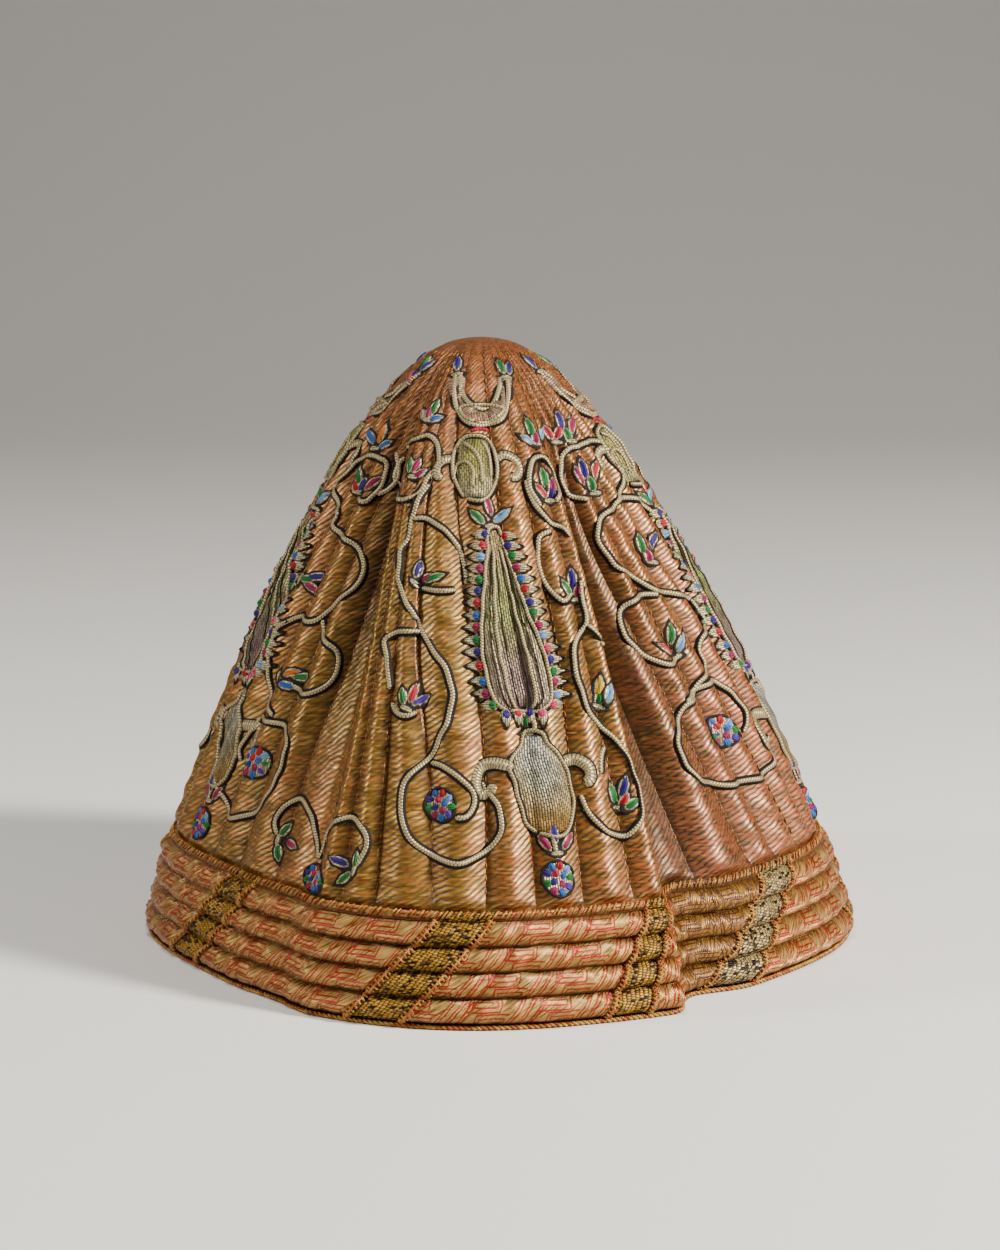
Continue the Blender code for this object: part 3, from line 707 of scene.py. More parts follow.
# %% Flecked weaves
def flecked(name, dark, mid, light):
    """Coarse weave: short level floats, each with a brightness of its own."""
    finish, tree = new_material(name)
    at = add(tree, "UVMap", uv_map="band")
    noise = add(tree, "TexNoise", at, named={"Scale": 0.5, "Detail": 2.0}, noise_dimensions="2D")
    split = add(tree, "SeparateXYZ", at).node
    column = add(tree, "Math", split.outputs[0], 1 / FLECK_WIDE, operation="MULTIPLY")
    column = add(tree, "Math", noise, 0.8, column, operation="MULTIPLY_ADD")
    number = add(tree, "Math", column, operation="FLOOR")
    row = add(tree, "Math", split.outputs[1], 1 / FLECK_HIGH, operation="MULTIPLY")
    row = add(tree, "Math", number, 0.43, row, operation="MULTIPLY_ADD")
    cell = add(tree, "CombineXYZ", number, add(tree, "Math", row, operation="FLOOR"))
    chance = add(tree, "TexWhiteNoise", cell, noise_dimensions="2D")
    rise = add(tree, "Math", hump(tree, column), hump(tree, row), operation="MULTIPLY")
    colour = add(tree, "MixRGB", add(tree, "MapRange", chance, 0.2, 0.75), mid, light)
    colour = add(tree, "MixRGB", add(tree, "MapRange", chance, 0.14, 0.24, 1.0, 0.0), colour, dark)
    colour = add(tree, "MixRGB", add(tree, "MapRange", rise, 0.1, 0.55), dark, colour)
    surface(tree, colour, 0.45, add(tree, "MapRange", rise, 0.2, 0.7, 0.0, 0.5), rise, 0.00015,
            Specular_IOR_Level=0.2)
    return finish


olive_weave = flecked("olive gold flecked weave", to_linear("#1c1003"), to_linear("#7a5416"),
                      to_linear("#b08426"))
grey_weave = flecked("grey gold flecked weave", to_linear("#170f06"), to_linear("#6c5832"),
                     to_linear("#b89e68"))
print("flecked weaves:", olive_weave.name, "and", grey_weave.name)

# %% [markdown]
# ## The padded band
#
# Each piece of the band is sewn over the same four rolls of wadding. The rolls puff out between
# rows of stitching and wrinkle slightly, as stuffed cloth does. A piece is a grid from its left
# seam to its right seam, following the slant of both, and it is pinched where it meets the next.

# %% Section and seams of the band
BAND_WELT_HEIGHT = 0.0024
BAND_WELT_THICKNESS = 0.0015
ROLL_COUNT = 4
ROLL_PADDING_FOOT = 0.0062
ROLL_PADDING_TOP = 0.0035
VISIBLE_GROOVE = 0.0034        # a little deeper than the CAD model's, as the cloth is thinner
CORD_RADIUS = 0.0007
CLEARANCE = 0.0003
FRONT_SEAMS = (
    # azimuth at the band's top edge, azimuth at the rim, what lies to the right of the seam
    (-55.0, -71.0, "strip"), (-46.5, -62.0, "panel"), (-8.0, -23.5, "strip"), (0.5, -15.0, "panel"),
    (26.0, 15.5, "strip"), (29.8, 22.5, "panel"), (33.0, 33.0, "panel"), (58.0, 36.0, "strip"),
    (68.0, 46.0, "panel"),
)
REAR_STRIP_COUNT, STRIP_WIDTH = 5, 8.6
ROLL_ROWS = 8            # rows of points over one roll
BAND_RADIUS_MM = 104.0   # radius at which lengths along the band are measured
SEAM_GAP = 0.00003       # between a piece and its seam


def band_back(height):
    """Radius of the band's back, which follows the foot of the cone at a small clearance."""
    return (CROWN_FOOT_RADIUS + height / BAND_HEIGHT * (CROWN_TUCK_RADIUS - CROWN_FOOT_RADIUS)
            + CLEARANCE)


def band_section():
    """Thickness, height, cloth length in mm and puff of the rows up the band's outer side."""
    first, last = 2 * CORD_RADIUS + CLEARANCE / 2, BAND_HEIGHT - BAND_WELT_HEIGHT
    k = np.arange(ROLL_COUNT * ROLL_ROWS + 1) / ROLL_ROWS
    roll, turn = np.floor(k), k - np.floor(k)
    f = (1 - np.cos(turn * math.pi)) / 2
    height = first + (roll + f) * (last - first) / ROLL_COUNT
    over = ROLL_PADDING_FOOT + height / BAND_HEIGHT * (ROLL_PADDING_TOP - ROLL_PADDING_FOOT)
    thickness = np.maximum(over - VISIBLE_GROOVE * (1 - puff(f)), 0.0005)
    welt = BAND_WELT_THICKNESS
    thickness = np.concatenate([[thickness[0] * 0.8, thickness[0]], thickness,
                                [welt, welt * 1.1, welt * 1.05, welt * 0.6, 0]])
    height = np.concatenate([[0, 0.0003], height, [last + 0.0002, last + 0.0012,
                                                   BAND_HEIGHT - 0.0003, BAND_HEIGHT,
                                                   BAND_HEIGHT]])
    cloth = np.concatenate([[-1.0, -0.5], (roll + turn) * ROLL_MM,
                            ROLL_COUNT * ROLL_MM + np.array([0.5, 1.5, 2.4, 3.0, 3.4])])
    rise = np.concatenate([[0, 0], puff(f), np.zeros(5)])
    return thickness, height, cloth, rise


def band_seams():
    """All seams in order: azimuth at the top edge and at the rim, and the piece to the right."""
    seams = list(FRONT_SEAMS)
    top, foot = FRONT_SEAMS[-1][:2]
    end_top, end_foot = FRONT_SEAMS[0][0] + 360.0, FRONT_SEAMS[0][1] + 360.0
    panel = (end_top - top - REAR_STRIP_COUNT * STRIP_WIDTH) / (REAR_STRIP_COUNT + 1)
    for k in range(REAR_STRIP_COUNT):
        start = top + (k + 1) * panel + k * STRIP_WIDTH
        for azimuth, piece in ((start, "strip"), (start + STRIP_WIDTH, "panel")):
            share = (azimuth - top) / (end_top - top)
            slant = top - foot + share * (end_top - end_foot - top + foot)
            seams.append((azimuth, azimuth - slant, piece))
    return seams


def band_points(azimuth, thickness, height):
    """Points of the band at a thickness in front of its back, following the folds of the cone."""
    return place(azimuth, band_back(height) + thickness - dent_depth(azimuth, 0.0), height)


print("rows up the band:", len(band_section()[0]), "seams:", len(band_seams()))

# %% [markdown]
# ## Sewing the pieces of the band
#
# Each piece goes from its left seam to its right one at every height, so its sides slant as the
# seams do. Two waves of different length wrinkle the puffed cloth, and the stitched grooves stay
# flat. The piece is closed behind and at both ends.

# %% Sew the band
thickness, height, cloth, rise = band_section()
seams = band_seams()
ends = seams[1:] + [(seams[0][0] + 360.0, seams[0][1] + 360.0, "")]
counts = {"panel": 0, "strip": 0}
cloths = {"panel": (red_brocade, "band_brocade"), "strip": (olive_weave, "olive_brocade"),
          "panel_04": (brown_brocade, "brown_brocade"), "strip_04": (grey_weave, "olive_brocade")}
for left, right in zip(seams, ends):
    kind = left[2]
    counts[kind] += 1
    label = "%s_%02d" % (kind, counts[kind])
    finish, slot_name = cloths.get(label, cloths[kind])
    up = height / BAND_HEIGHT
    start = left[1] + up * (left[0] - left[1])
    stop = right[1] + up * (right[0] - right[1])
    span = np.radians(stop - start) * BAND_RADIUS_MM
    across = max(8, int(round(span.max() / 0.8)))
    g = np.linspace(0, 1, across + 1)[:, None]
    inset = np.degrees(SEAM_GAP / BAND_RADIUS_MM * 1000)
    azimuth = start + inset + g * (stop - start - 2 * inset)
    from_end = np.minimum(g, 1 - g) * span
    pinch = 1 - 0.15 * np.exp(-(from_end / 1.1) ** 2)
    mm = np.radians(azimuth) * BAND_RADIUS_MM
    wrinkle = (0.6 * np.sin(mm / 0.9 + 1.3 * np.sin(mm / 4.3) + cloth / 3.1)
               + np.sin(mm / 1.9 - cloth / 2.6 + 2.1 * np.sin(mm / 7.1)))
    front = band_points(azimuth, thickness * pinch + rise * wrinkle * 0.00042, height)
    back = band_points(azimuth, 0 * azimuth, height)
    loop = np.concatenate([front, back[:, ::-1], front[:, :1]], axis=1)
    flat = np.concatenate([back, back[:, ::-1], back[:, :1]], axis=1)
    grid = np.concatenate([flat[:1], loop, flat[-1:]])
    along = np.radians(azimuth - start) * BAND_RADIUS_MM
    cloth_uv = np.stack([along, np.broadcast_to(cloth, along.shape)], axis=-1)
    cloth_uv[..., 0] += 0.12 * cloth_uv[..., 1] + 5.1 * counts["panel"]
    uv = np.concatenate([cloth_uv, cloth_uv[:, ::-1], cloth_uv[:, :1]], axis=1)
    uv = np.concatenate([uv[:1], uv, uv[-1:]])
    skin(label + "_cloth", grid, [finish], {"band": uv},
         replaces=["band_" + label])
print("band pieces:", sum(counts.values()))

# %% [markdown]
# ## The twisted hem cord
#
# A thin gold cord of two plies is sewn along the bottom edge. Each ply is a round thread whose
# centre winds round the cord's own line, so the cord is worked out as a helix laid along the foot
# of the band. The band's foot has a sharp crease at the deep fold, which the cord rounds off.

# %% Carrying a section along a line
def smooth(values, width):
    """Running mean round a closed line, weighted by a bell curve of the given number of points."""
    reach = np.arange(-3 * width, 3 * width + 1)
    bell = np.exp(-0.5 * (reach / width) ** 2)
    return sum(w * np.roll(values, k, axis=0) for k, w in zip(reach, bell / bell.sum()))


def unit(vectors):
    """Vectors of the same directions, one long."""
    return vectors / np.maximum(np.linalg.norm(vectors, axis=-1, keepdims=True), 1e-12)


def sweep(path, normal, across, up, scale=None):
    """Grid of points for a thread: a section carried along paths, with the normals as its up.

    path and normal are (..., points, 3), across and up the closed section, scale its size at
    each point of the path.
    """
    along = unit(np.gradient(path, axis=-2))
    side = unit(np.cross(along, normal))
    lift = np.cross(side, along)
    size = np.ones(path.shape[-2]) if scale is None else scale
    return (path[..., None, :] + side[..., None, :] * (across * size[..., None])[..., None]
            + lift[..., None, :] * (up * size[..., None])[..., None])


def circle(sides, radius):
    """Round section for a thread, closed by its first point repeated."""
    turn = np.linspace(0, 2 * math.pi, sides + 1)
    return radius * np.sin(turn), radius * np.cos(turn)


print("points round a six-sided thread:", len(circle(6, 1.0)[0]))

# %% [markdown]
# ## Spun thread
#
# Spun thread is made of fine plies that cross it on the slant. The UV map counts millimetres
# along the thread, and adding a little for the way round it turns straight bars into slanted
# ones. Old gilt thread has worn in patches, so a second colour can take over.

# %% Spun threads
WINDING = 0.45   # mm between two plies along a thread, coarser than real ones, so that they show


def spun_thread(name, colour, colour_light, metallic, roughness=0.42, second=None):
    """Thread whose UV map runs along it in mm: fine plies cross it on the slant.

    A second colour, where given, takes over in patches of some millimetres.
    """
    finish, tree = new_material(name)
    at = add(tree, "SeparateXYZ", add(tree, "UVMap", uv_map="thread")).node
    ply = add(tree, "Math", at.outputs[0], 1 / WINDING, operation="MULTIPLY")
    ply = add(tree, "Math", at.outputs[1], 1.6, ply, operation="MULTIPLY_ADD")
    wave = hump(tree, ply)
    chance = add(tree, "TexWhiteNoise", add(tree, "Math", ply, operation="FLOOR"),
                 noise_dimensions="1D")
    tone = add(tree, "Math", chance, wave, operation="MULTIPLY")
    if second:
        patchy = add(tree, "TexNoise", add(tree, "TexCoord").node.outputs["Object"],
                     named={"Scale": 420.0, "Detail": 1.0})
        colour_light = add(tree, "MixRGB", add(tree, "MapRange", patchy, 0.42, 0.58),
                           colour_light, second)
    surface(tree, add(tree, "MixRGB", tone, colour, colour_light), roughness, metallic, wave,
            0.00008, Specular_IOR_Level=0.25 if metallic == 0 else 0.5)
    return finish


gold_cord = spun_thread("twisted orange gold cord", to_linear("#5c3008"), to_linear("#f2bc54"), 0.4,
                        second=to_linear("#c4601c"))
orange_thread = spun_thread("orange gold overcast thread", to_linear("#6e3c0c"),
                            to_linear("#e6b258"), 0.45, second=to_linear("#b8641e"))
print("threads:", gold_cord.name, "and", orange_thread.name)

# %% [markdown]
# ## Two plies wound together
#
# The cord's own line runs round the foot of the band, a cord's radius outside it. Each ply goes
# round that line once in about three millimetres, and the second ply is half a turn behind the
# first.

# %% Hem cord
PLY_TURN = 0.0031      # length of cord in which the plies wind once
PLY_RADIUS, PLY_OFFSET = 0.00038, 0.00031
TURN_POINTS = 11

azimuth = np.linspace(0, 360, 3601)[:-1]
foot_thickness = band_section()[0][1]
line = band_points(azimuth, foot_thickness, np.zeros(1))[:, :2]
ahead = unit(np.roll(line, -1, axis=0) - np.roll(line, 1, axis=0))
outwards = np.stack([ahead[:, 1], -ahead[:, 0]], axis=1)
line = smooth(line + outwards * (CLEARANCE + CORD_RADIUS), 8)
steps = np.append(0, np.cumsum(np.linalg.norm(np.diff(np.vstack([line, line[:1]]), axis=0),
                                              axis=1)))
turns = round(steps[-1] / PLY_TURN)
at = np.linspace(0, steps[-1], turns * TURN_POINTS + 1)
core = [np.interp(at, steps, np.append(line[:, k], line[0, k])) for k in (0, 1)]
core = np.stack([*core, np.full(len(at), CORD_RADIUS)], axis=1)
flat = np.array([0.0, 0.0, 1.0])
ahead = unit(np.gradient(core, axis=0))
side = np.cross(ahead, flat)
phase = at / steps[-1] * turns * 2 * math.pi
phase = phase[:, None] + np.array([0, math.pi])[:, None, None]
plies = core + PLY_OFFSET * (side * np.sin(phase) + flat * np.cos(phase))
plies[:, -1] = plies[:, 0]
across, up = circle(6, PLY_RADIUS)
grid = sweep(plies, np.broadcast_to(flat, plies.shape), across, up)
grid[:, -1] = grid[:, 0]
uv = np.stack(np.broadcast_arrays((at * 1000)[None, :, None],
                                  np.linspace(0, 1, 7) * np.ones((2, 1, 1))), axis=-1)
skin("twisted_hem_cord", grid, [gold_cord], {"thread": uv}, replaces=["hem_cord"])
print("cord turns:", turns)

# %% [markdown]
# ## Where the needle goes
#
# The embroidery is drawn as points of azimuth and of millimetres up the slant, read from the front
# of the hat as if it had no folds. To lie where it is seen, a point is carried round the folded
# cloth to the azimuth that shows at the same place from the front. The cord then follows a smooth
# curve through its points, just above the cloth, and bridges the narrow valleys as real couched
# cord does.

# %% Placing embroidery on the cloth
DRAWING_SLANT = 187.8   # mm of slant in the drawing that the points were read from
CORD_STEP = 0.00055     # between two points along a cord


def carry(points):
    """Moves azimuths so that radius x sin(azimuth) on the folded cloth is as on a plain cone."""
    azimuth, slant = np.array(points, float).T
    share = slant / DRAWING_SLANT
    across = crown_profile(share)[0] * np.sin(np.radians(azimuth))
    found = azimuth.copy()
    for _ in range(25):
        ratio = np.clip(across / crown_radius(found, share)[0], -0.985, 0.985)
        found += 0.5 * (np.degrees(np.arcsin(ratio)) - found)
    return np.stack([found, slant], axis=1)


def cloth_normals(azimuth, share):
    """Outward directions, from the points a little to each side, softened across the ribs."""
    wide = 3.0
    across = crown_points(azimuth + wide, share) - crown_points(azimuth - wide, share)
    upwards = (crown_points(azimuth, np.minimum(share + 0.01, 1))
               - crown_points(azimuth, np.maximum(share - 0.01, 0)))
    return unit(np.cross(across, upwards))


def thread_path(points):
    """Curve through (azimuth, slant) points: its places on the cloth and their normals."""
    points = np.array(points, float)
    share = points[:, 1] / DRAWING_SLANT
    flat = np.stack([np.radians(points[:, 0]) * crown_profile(share)[0], share * SLANT], axis=1)
    along = np.append(0, np.cumsum(np.maximum(np.linalg.norm(np.diff(flat, axis=0), axis=1), 1e-4)))
    count = max(8, int(along[-1] / CORD_STEP))
    curve = through(np.linspace(0, along[-1], count), along, points)
    way = np.arange(count) * CORD_STEP * 1000
    azimuth = curve[:, 0] + 0.10 * np.sin(way / 1.3 + curve[0, 0])
    share = (curve[:, 1] + 0.13 * np.sin(way / 1.7 + curve[0, 1])) / DRAWING_SLANT
    radius, height = crown_radius(azimuth, share)
    padded = np.pad(radius, 6, mode="edge")
    bell = np.exp(-0.5 * (np.arange(-6, 7) / 2.2) ** 2)
    eased = np.convolve(padded, bell / bell.sum(), mode="valid")
    return place(azimuth, np.maximum(radius, eased), height), cloth_normals(azimuth, share)


print("carried:", carry([(-10, 60), (30, 40)]).round(1).tolist())

# %% [markdown]
# ## A couched cord as a grid
#
# A couched cord is round on top and pressed flat below by its stitches. That section is carried
# along the thread path with the cloth's outward direction as its up, so the cord never rolls
# over. Many cords make one mesh: short ones are padded with copies of their last row, which
# welding takes away.

# %% Cords as grids
def cord_grid(points, width, height, sides, lift):
    """Grid and UV (mm along, share around) of a flattened cord laid along a thread path."""
    path, normal = thread_path(points)
    path = path + lift * normal
    turn = np.linspace(0, 2 * math.pi, sides + 1)
    across = width / 2 * np.sin(turn)
    up = np.where(np.cos(turn) > 0, height, width * 0.3) * np.cos(turn)
    scale = np.ones(len(path))
    scale[[0, -1]] = 0
    scale[[1, -2]] = 0.75
    path[0], path[-1] = path[1] + (path[0] - path[1]) * 0.6, path[-2] + (path[-1] - path[-2]) * 0.6
    grid = sweep(path, normal, across, up, scale)
    along = np.append(0, np.cumsum(np.linalg.norm(np.diff(path, axis=0), axis=1))) * 1000
    return grid, np.stack(np.broadcast_arrays(along[:, None], turn / (2 * math.pi)), axis=-1)


def joined(grids):
    """Several grids with the same number of columns as one stack, padded by repeated last rows."""
    rows = max(len(g) for g in grids)
    return np.array([np.concatenate([g, np.repeat(g[-1:], rows - len(g), axis=0)])
                     for g in grids])


def painted(colour, grid):
    """One colour for each shape of a stack, or one for all, at every point of the grid."""
    return np.broadcast_to(np.asarray(colour).reshape(-1, 1, 1, 4), grid.shape[:3] + (4,))


def laid(name, finish, paths, width, height, sides=6, lift=0.0, colour=None):
    """One mesh of cords of one section, laid along many paths; returns their length in metres."""
    widths = np.broadcast_to(width, len(paths))
    made = [cord_grid(path, wide, height, sides, lift) for path, wide in zip(paths, widths)]
    grids, uvs = zip(*made)
    grid = joined(grids)
    colours = painted(to_linear(colour), grid) if colour else None
    skin(name, grid, [finish], {"thread": joined(uvs)}, colours=colours)
    return sum(uv[-1, 0, 0] for uv in uvs) / 1000


sample = cord_grid([(0, 40), (5, 50)], 0.0016, 0.0006, 8, 0.0)[0]
print("a short cord has", sample.shape[0], "rows of", sample.shape[1], "points")

# %% [markdown]
# ## Threads of the embroidery
#
# The cord is silver-gilt strip wound on silk, laid on the cloth and held by tiny stitches across
# it about a millimetre apart. Time has turned it a warm grey. Thin dark silk is laid along both
# of its sides. The flowers are satin stitch in floss silk: parallel threads, soft and shiny.

# %% Materials of the embroidery
def couched_metal(name, dark, light, pitch, metallic):
    """Metal thread crossed by stitches: u runs along it in mm, and each stitch has its own tone."""
    finish, tree = new_material(name)
    at = add(tree, "SeparateXYZ", add(tree, "UVMap", uv_map="thread")).node
    stitch = add(tree, "Math", at.outputs[1], 0.55, at.outputs[0], operation="MULTIPLY_ADD")
    stitch = add(tree, "Math", stitch, 1 / pitch, operation="MULTIPLY")
    wave = hump(tree, stitch)
    chance = add(tree, "TexWhiteNoise", add(tree, "Math", stitch, operation="FLOOR"),
                 noise_dimensions="1D")
    tone = add(tree, "MapRange", chance, 0.0, 1.0, 0.3, 1.0)
    tone = add(tree, "Math", tone, add(tree, "MapRange", wave, 0.1, 0.6), operation="MULTIPLY")
    surface(tree, add(tree, "MixRGB", tone, dark, light), 0.4, metallic, wave, 0.0001)
    return finish


def sewn_colour(name, across, along, darkest, metallic, roughness, depth):
    """Stitches beside each other that take their colour from the mesh, in mm across and along."""
    finish, tree = new_material(name)
    tint_and_shade = add(tree, "VertexColor", layer_name="silk")
    at = add(tree, "SeparateXYZ", add(tree, "UVMap", uv_map="thread")).node
    strand = add(tree, "Math", at.outputs[0], 1 / across, operation="MULTIPLY")
    number = add(tree, "Math", strand, operation="FLOOR")
    stitch = add(tree, "Math", at.outputs[1], 1 / along, operation="MULTIPLY")
    stitch = add(tree, "Math", number, 0.43, stitch, operation="MULTIPLY_ADD")
    cell = add(tree, "CombineXYZ", number, add(tree, "Math", stitch, operation="FLOOR"))
    chance = add(tree, "TexWhiteNoise", cell, noise_dimensions="2D")
    ends = add(tree, "MapRange", hump(tree, stitch), 0.0, 0.35)
    rise = add(tree, "Math", hump(tree, strand), ends, operation="MULTIPLY")
    tone = add(tree, "MapRange", chance, 0.0, 1.0, 0.45, 1.1)
    tone = add(tree, "Math", tone, add(tree, "MapRange", rise, 0.0, 0.6, darkest, 1.0),
               operation="MULTIPLY")
    colour = add(tree, "MixRGB", 1.0, tint_and_shade, add(tree, "CombineXYZ", tone, tone, tone),
                 blend_type="MULTIPLY")
    surface(tree, colour, roughness, metallic, rise, depth, Specular_IOR_Level=0.25)
    return finish


COUCHING = 0.9                          # mm between two stitches over a cord
FLOSS_WIDE, FLOSS_LONG = 0.45, 40.0     # mm, one strand; a real one is finer and wouldn't show
SILVER_WIDE, SILVER_LONG = 0.7, 1.9     # mm, one laid thread and the stitches over it

silver_cord = couched_metal("couched silver gilt cord", to_linear("#2e2214"),
                            to_linear("#bcaa7c"), COUCHING, 0.5)
dark_silk = spun_thread("dark brown outline silk", to_linear("#080403"), to_linear("#1c110a"),
                        0.0, 0.7)
floss = sewn_colour("satin stitched floss silk", FLOSS_WIDE, FLOSS_LONG, 0.3, 0.0, 0.55, 0.00015)
silver_fill = sewn_colour("laid silver thread", SILVER_WIDE, SILVER_LONG, 0.2, 0.45, 0.42, 0.0002)
print("embroidery materials: cord, fill, outline, floss")

# %% [markdown]
# ## The drawing of the vines
#
# The pattern repeats four times round the hat: an urn, a long pendant and a flower with two arms
# stand on the axis of each repeat, and scrolling vines fill the ground between. Each vine is a list
# of cord paths, a list of flowers and a list of round berries, in azimuth and slant millimetres.
#
# The front's drawings lie where the photograph shows them. The back of the hat doesn't show there,
# so it takes the same drawings, turned round to their places.

# %% The drawing: paths, flowers and berries
PURPLE, MAGENTA, GREEN, RED = "#2c1278", "#98044e", "#06702e", "#b00c1c"
BLUE, SKY, ORANGE, CRIMSON = "#2460b0", "#6aa0d8", "#d87010", "#b81030"
PINK, YELLOW, VIOLET, SILVER = "#d82a62", "#dcae20", "#4c2a9c", "#b4a98a"

